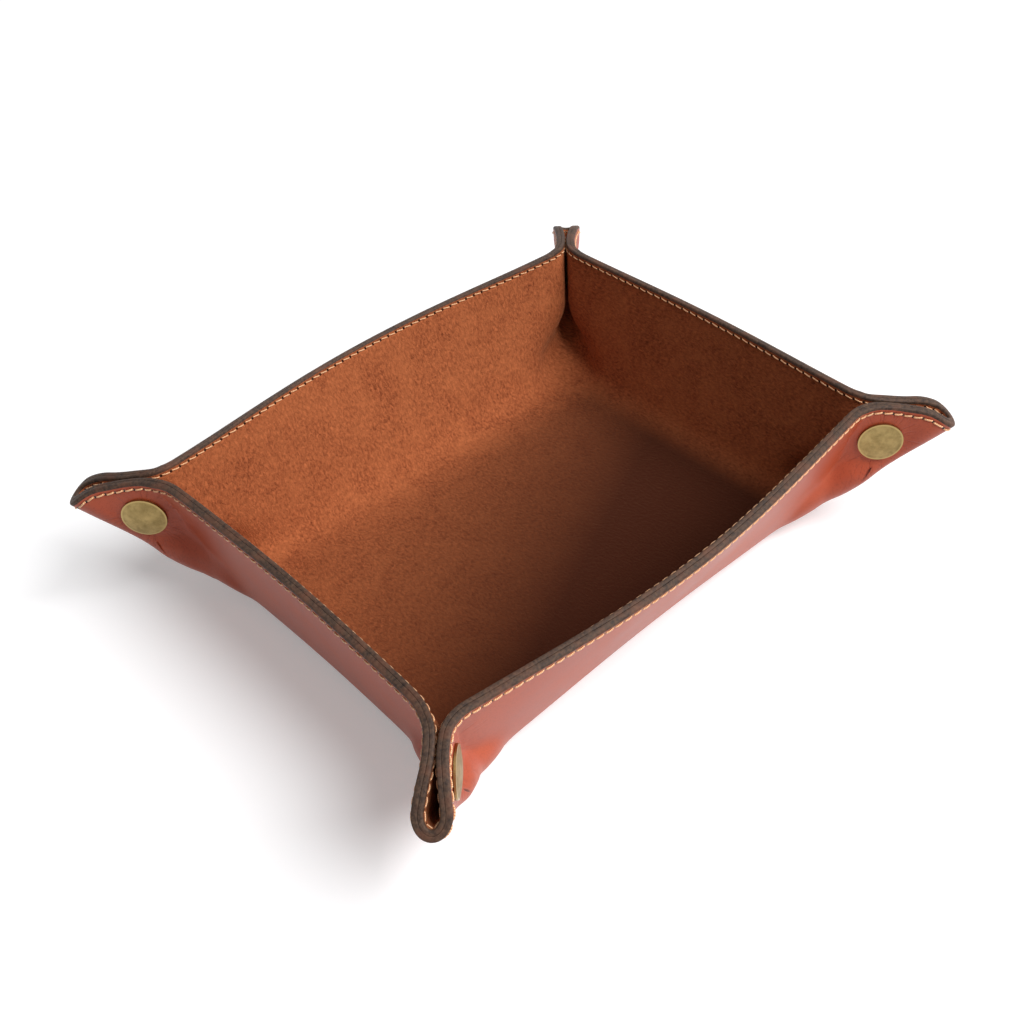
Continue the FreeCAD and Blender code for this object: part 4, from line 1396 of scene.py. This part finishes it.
# %% Finish the press studs
def finish_studs():
    """Every part of each stud gets that stud's own brass."""
    for corner, (sign_x, sign_y) in CORNERS.items():
        low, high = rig.box(f"snap_{corner}_cap")
        centre = tuple((a + b) / 2 for a, b in zip(low, high))
        axis = tuple(unit(np.array([sign_x, -sign_y, 0.0])))
        brass = antique_brass(f"antique_brass_{corner}", centre, axis)
        for part in ("cap", "socket", "stud", "eyelet"):
            node = frame["nodes"][f"snap_{corner}_{part}"]
            for holder in node.material_slots:
                holder.material = brass
            if not node.material_slots:
                node.data.materials.append(brass)


finish_studs()

# %% [markdown]
# ## Floor and light
#
# The tray stands on a white sweep. A large soft lamp stands high on the right, beside the viewer,
# so the shadow falls to the left, and the white surroundings fill the rest. The floor answers the
# lamp in the ordinary way, and a faint glow that only the camera and reflections see lifts its
# lit part to white, so it keeps its shadow.

# %% Floor, world and lamps
FLOOR_SIZE = 3.0
KEY_POWER = 205.0
KEY_PLACE = (1.3, -2.2, 3.0)
KEY_SIZE = 3.0
WORLD_LEVEL = 0.2
FLOOR_GLOW = 0.27
FLOOR_COLOUR = (0.85, 0.85, 0.86, 1.0)
WHITE = (1.0, 1.0, 1.0, 1.0)


def seen_share(add):
    """1 for a ray from the camera or a reflection, and 0 for the rest."""
    path = add("LightPath")
    return add("Math", "MAXIMUM",
               {0: path.outputs["Is Camera Ray"], 1: path.outputs["Is Glossy Ray"]})


def lay_floor():
    """A large plain sheet under the tray."""
    half = FLOOR_SIZE / 2
    mesh = bpy.data.meshes.new("floor")
    corners = [(-half, -half, 0), (half, -half, 0), (half, half, 0), (-half, half, 0)]
    mesh.from_pydata(corners, [], [(0, 1, 2, 3)])
    material, add = new_material("white_sweep")
    paper = add("BsdfPrincipled", inputs={
        "Base Color": FLOOR_COLOUR, "Roughness": 0.9, "Specular IOR Level": 0.1})
    level = add("Math", "MULTIPLY", {0: seen_share(add), 1: FLOOR_GLOW})
    glow = add("Emission", inputs={"Color": WHITE, "Strength": level})
    both = add("AddShader", inputs={0: paper, 1: glow})
    add("OutputMaterial", inputs={"Surface": both})
    mesh.materials.append(material)
    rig.stage(new_object("floor", mesh))


def light_scene():
    """A soft key lamp and a white world."""
    data = bpy.data.lights.new("key", "AREA")
    data.energy = KEY_POWER
    data.shape = "DISK"
    data.size = KEY_SIZE
    lamp = new_object("key", data)
    lamp.location = KEY_PLACE
    lamp.rotation_euler = (-Vector(KEY_PLACE)).to_track_quat("-Z", "Y").to_euler()
    world = bpy.data.worlds.new("white_room")
    world.use_nodes = True
    world.node_tree.nodes.clear()
    add = partial(add_node, world)
    level = add("MapRange", inputs={0: seen_share(add), 3: WORLD_LEVEL, 4: 1.0})
    sky = add("Background", inputs={"Color": WHITE, "Strength": level})
    add("OutputWorld", inputs={"Surface": sky})
    bpy.context.scene.world = world


lay_floor()
light_scene()
bpy.context.scene.view_settings.view_transform = "Standard"

# %% [markdown]
# ## Write the sizes
#
# The soft pieces are meant to fill the box that the CAD model has, and no more; both boxes are written out.

# %% Write the sizes
visual_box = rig.bounds()
with open("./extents.json", "w") as file:
    json.dump({
        "cad": [list(map(float, point)) for point in cad_box],
        "visual": [list(map(float, point)) for point in visual_box],
    }, file)
print("visual box:", visual_box)
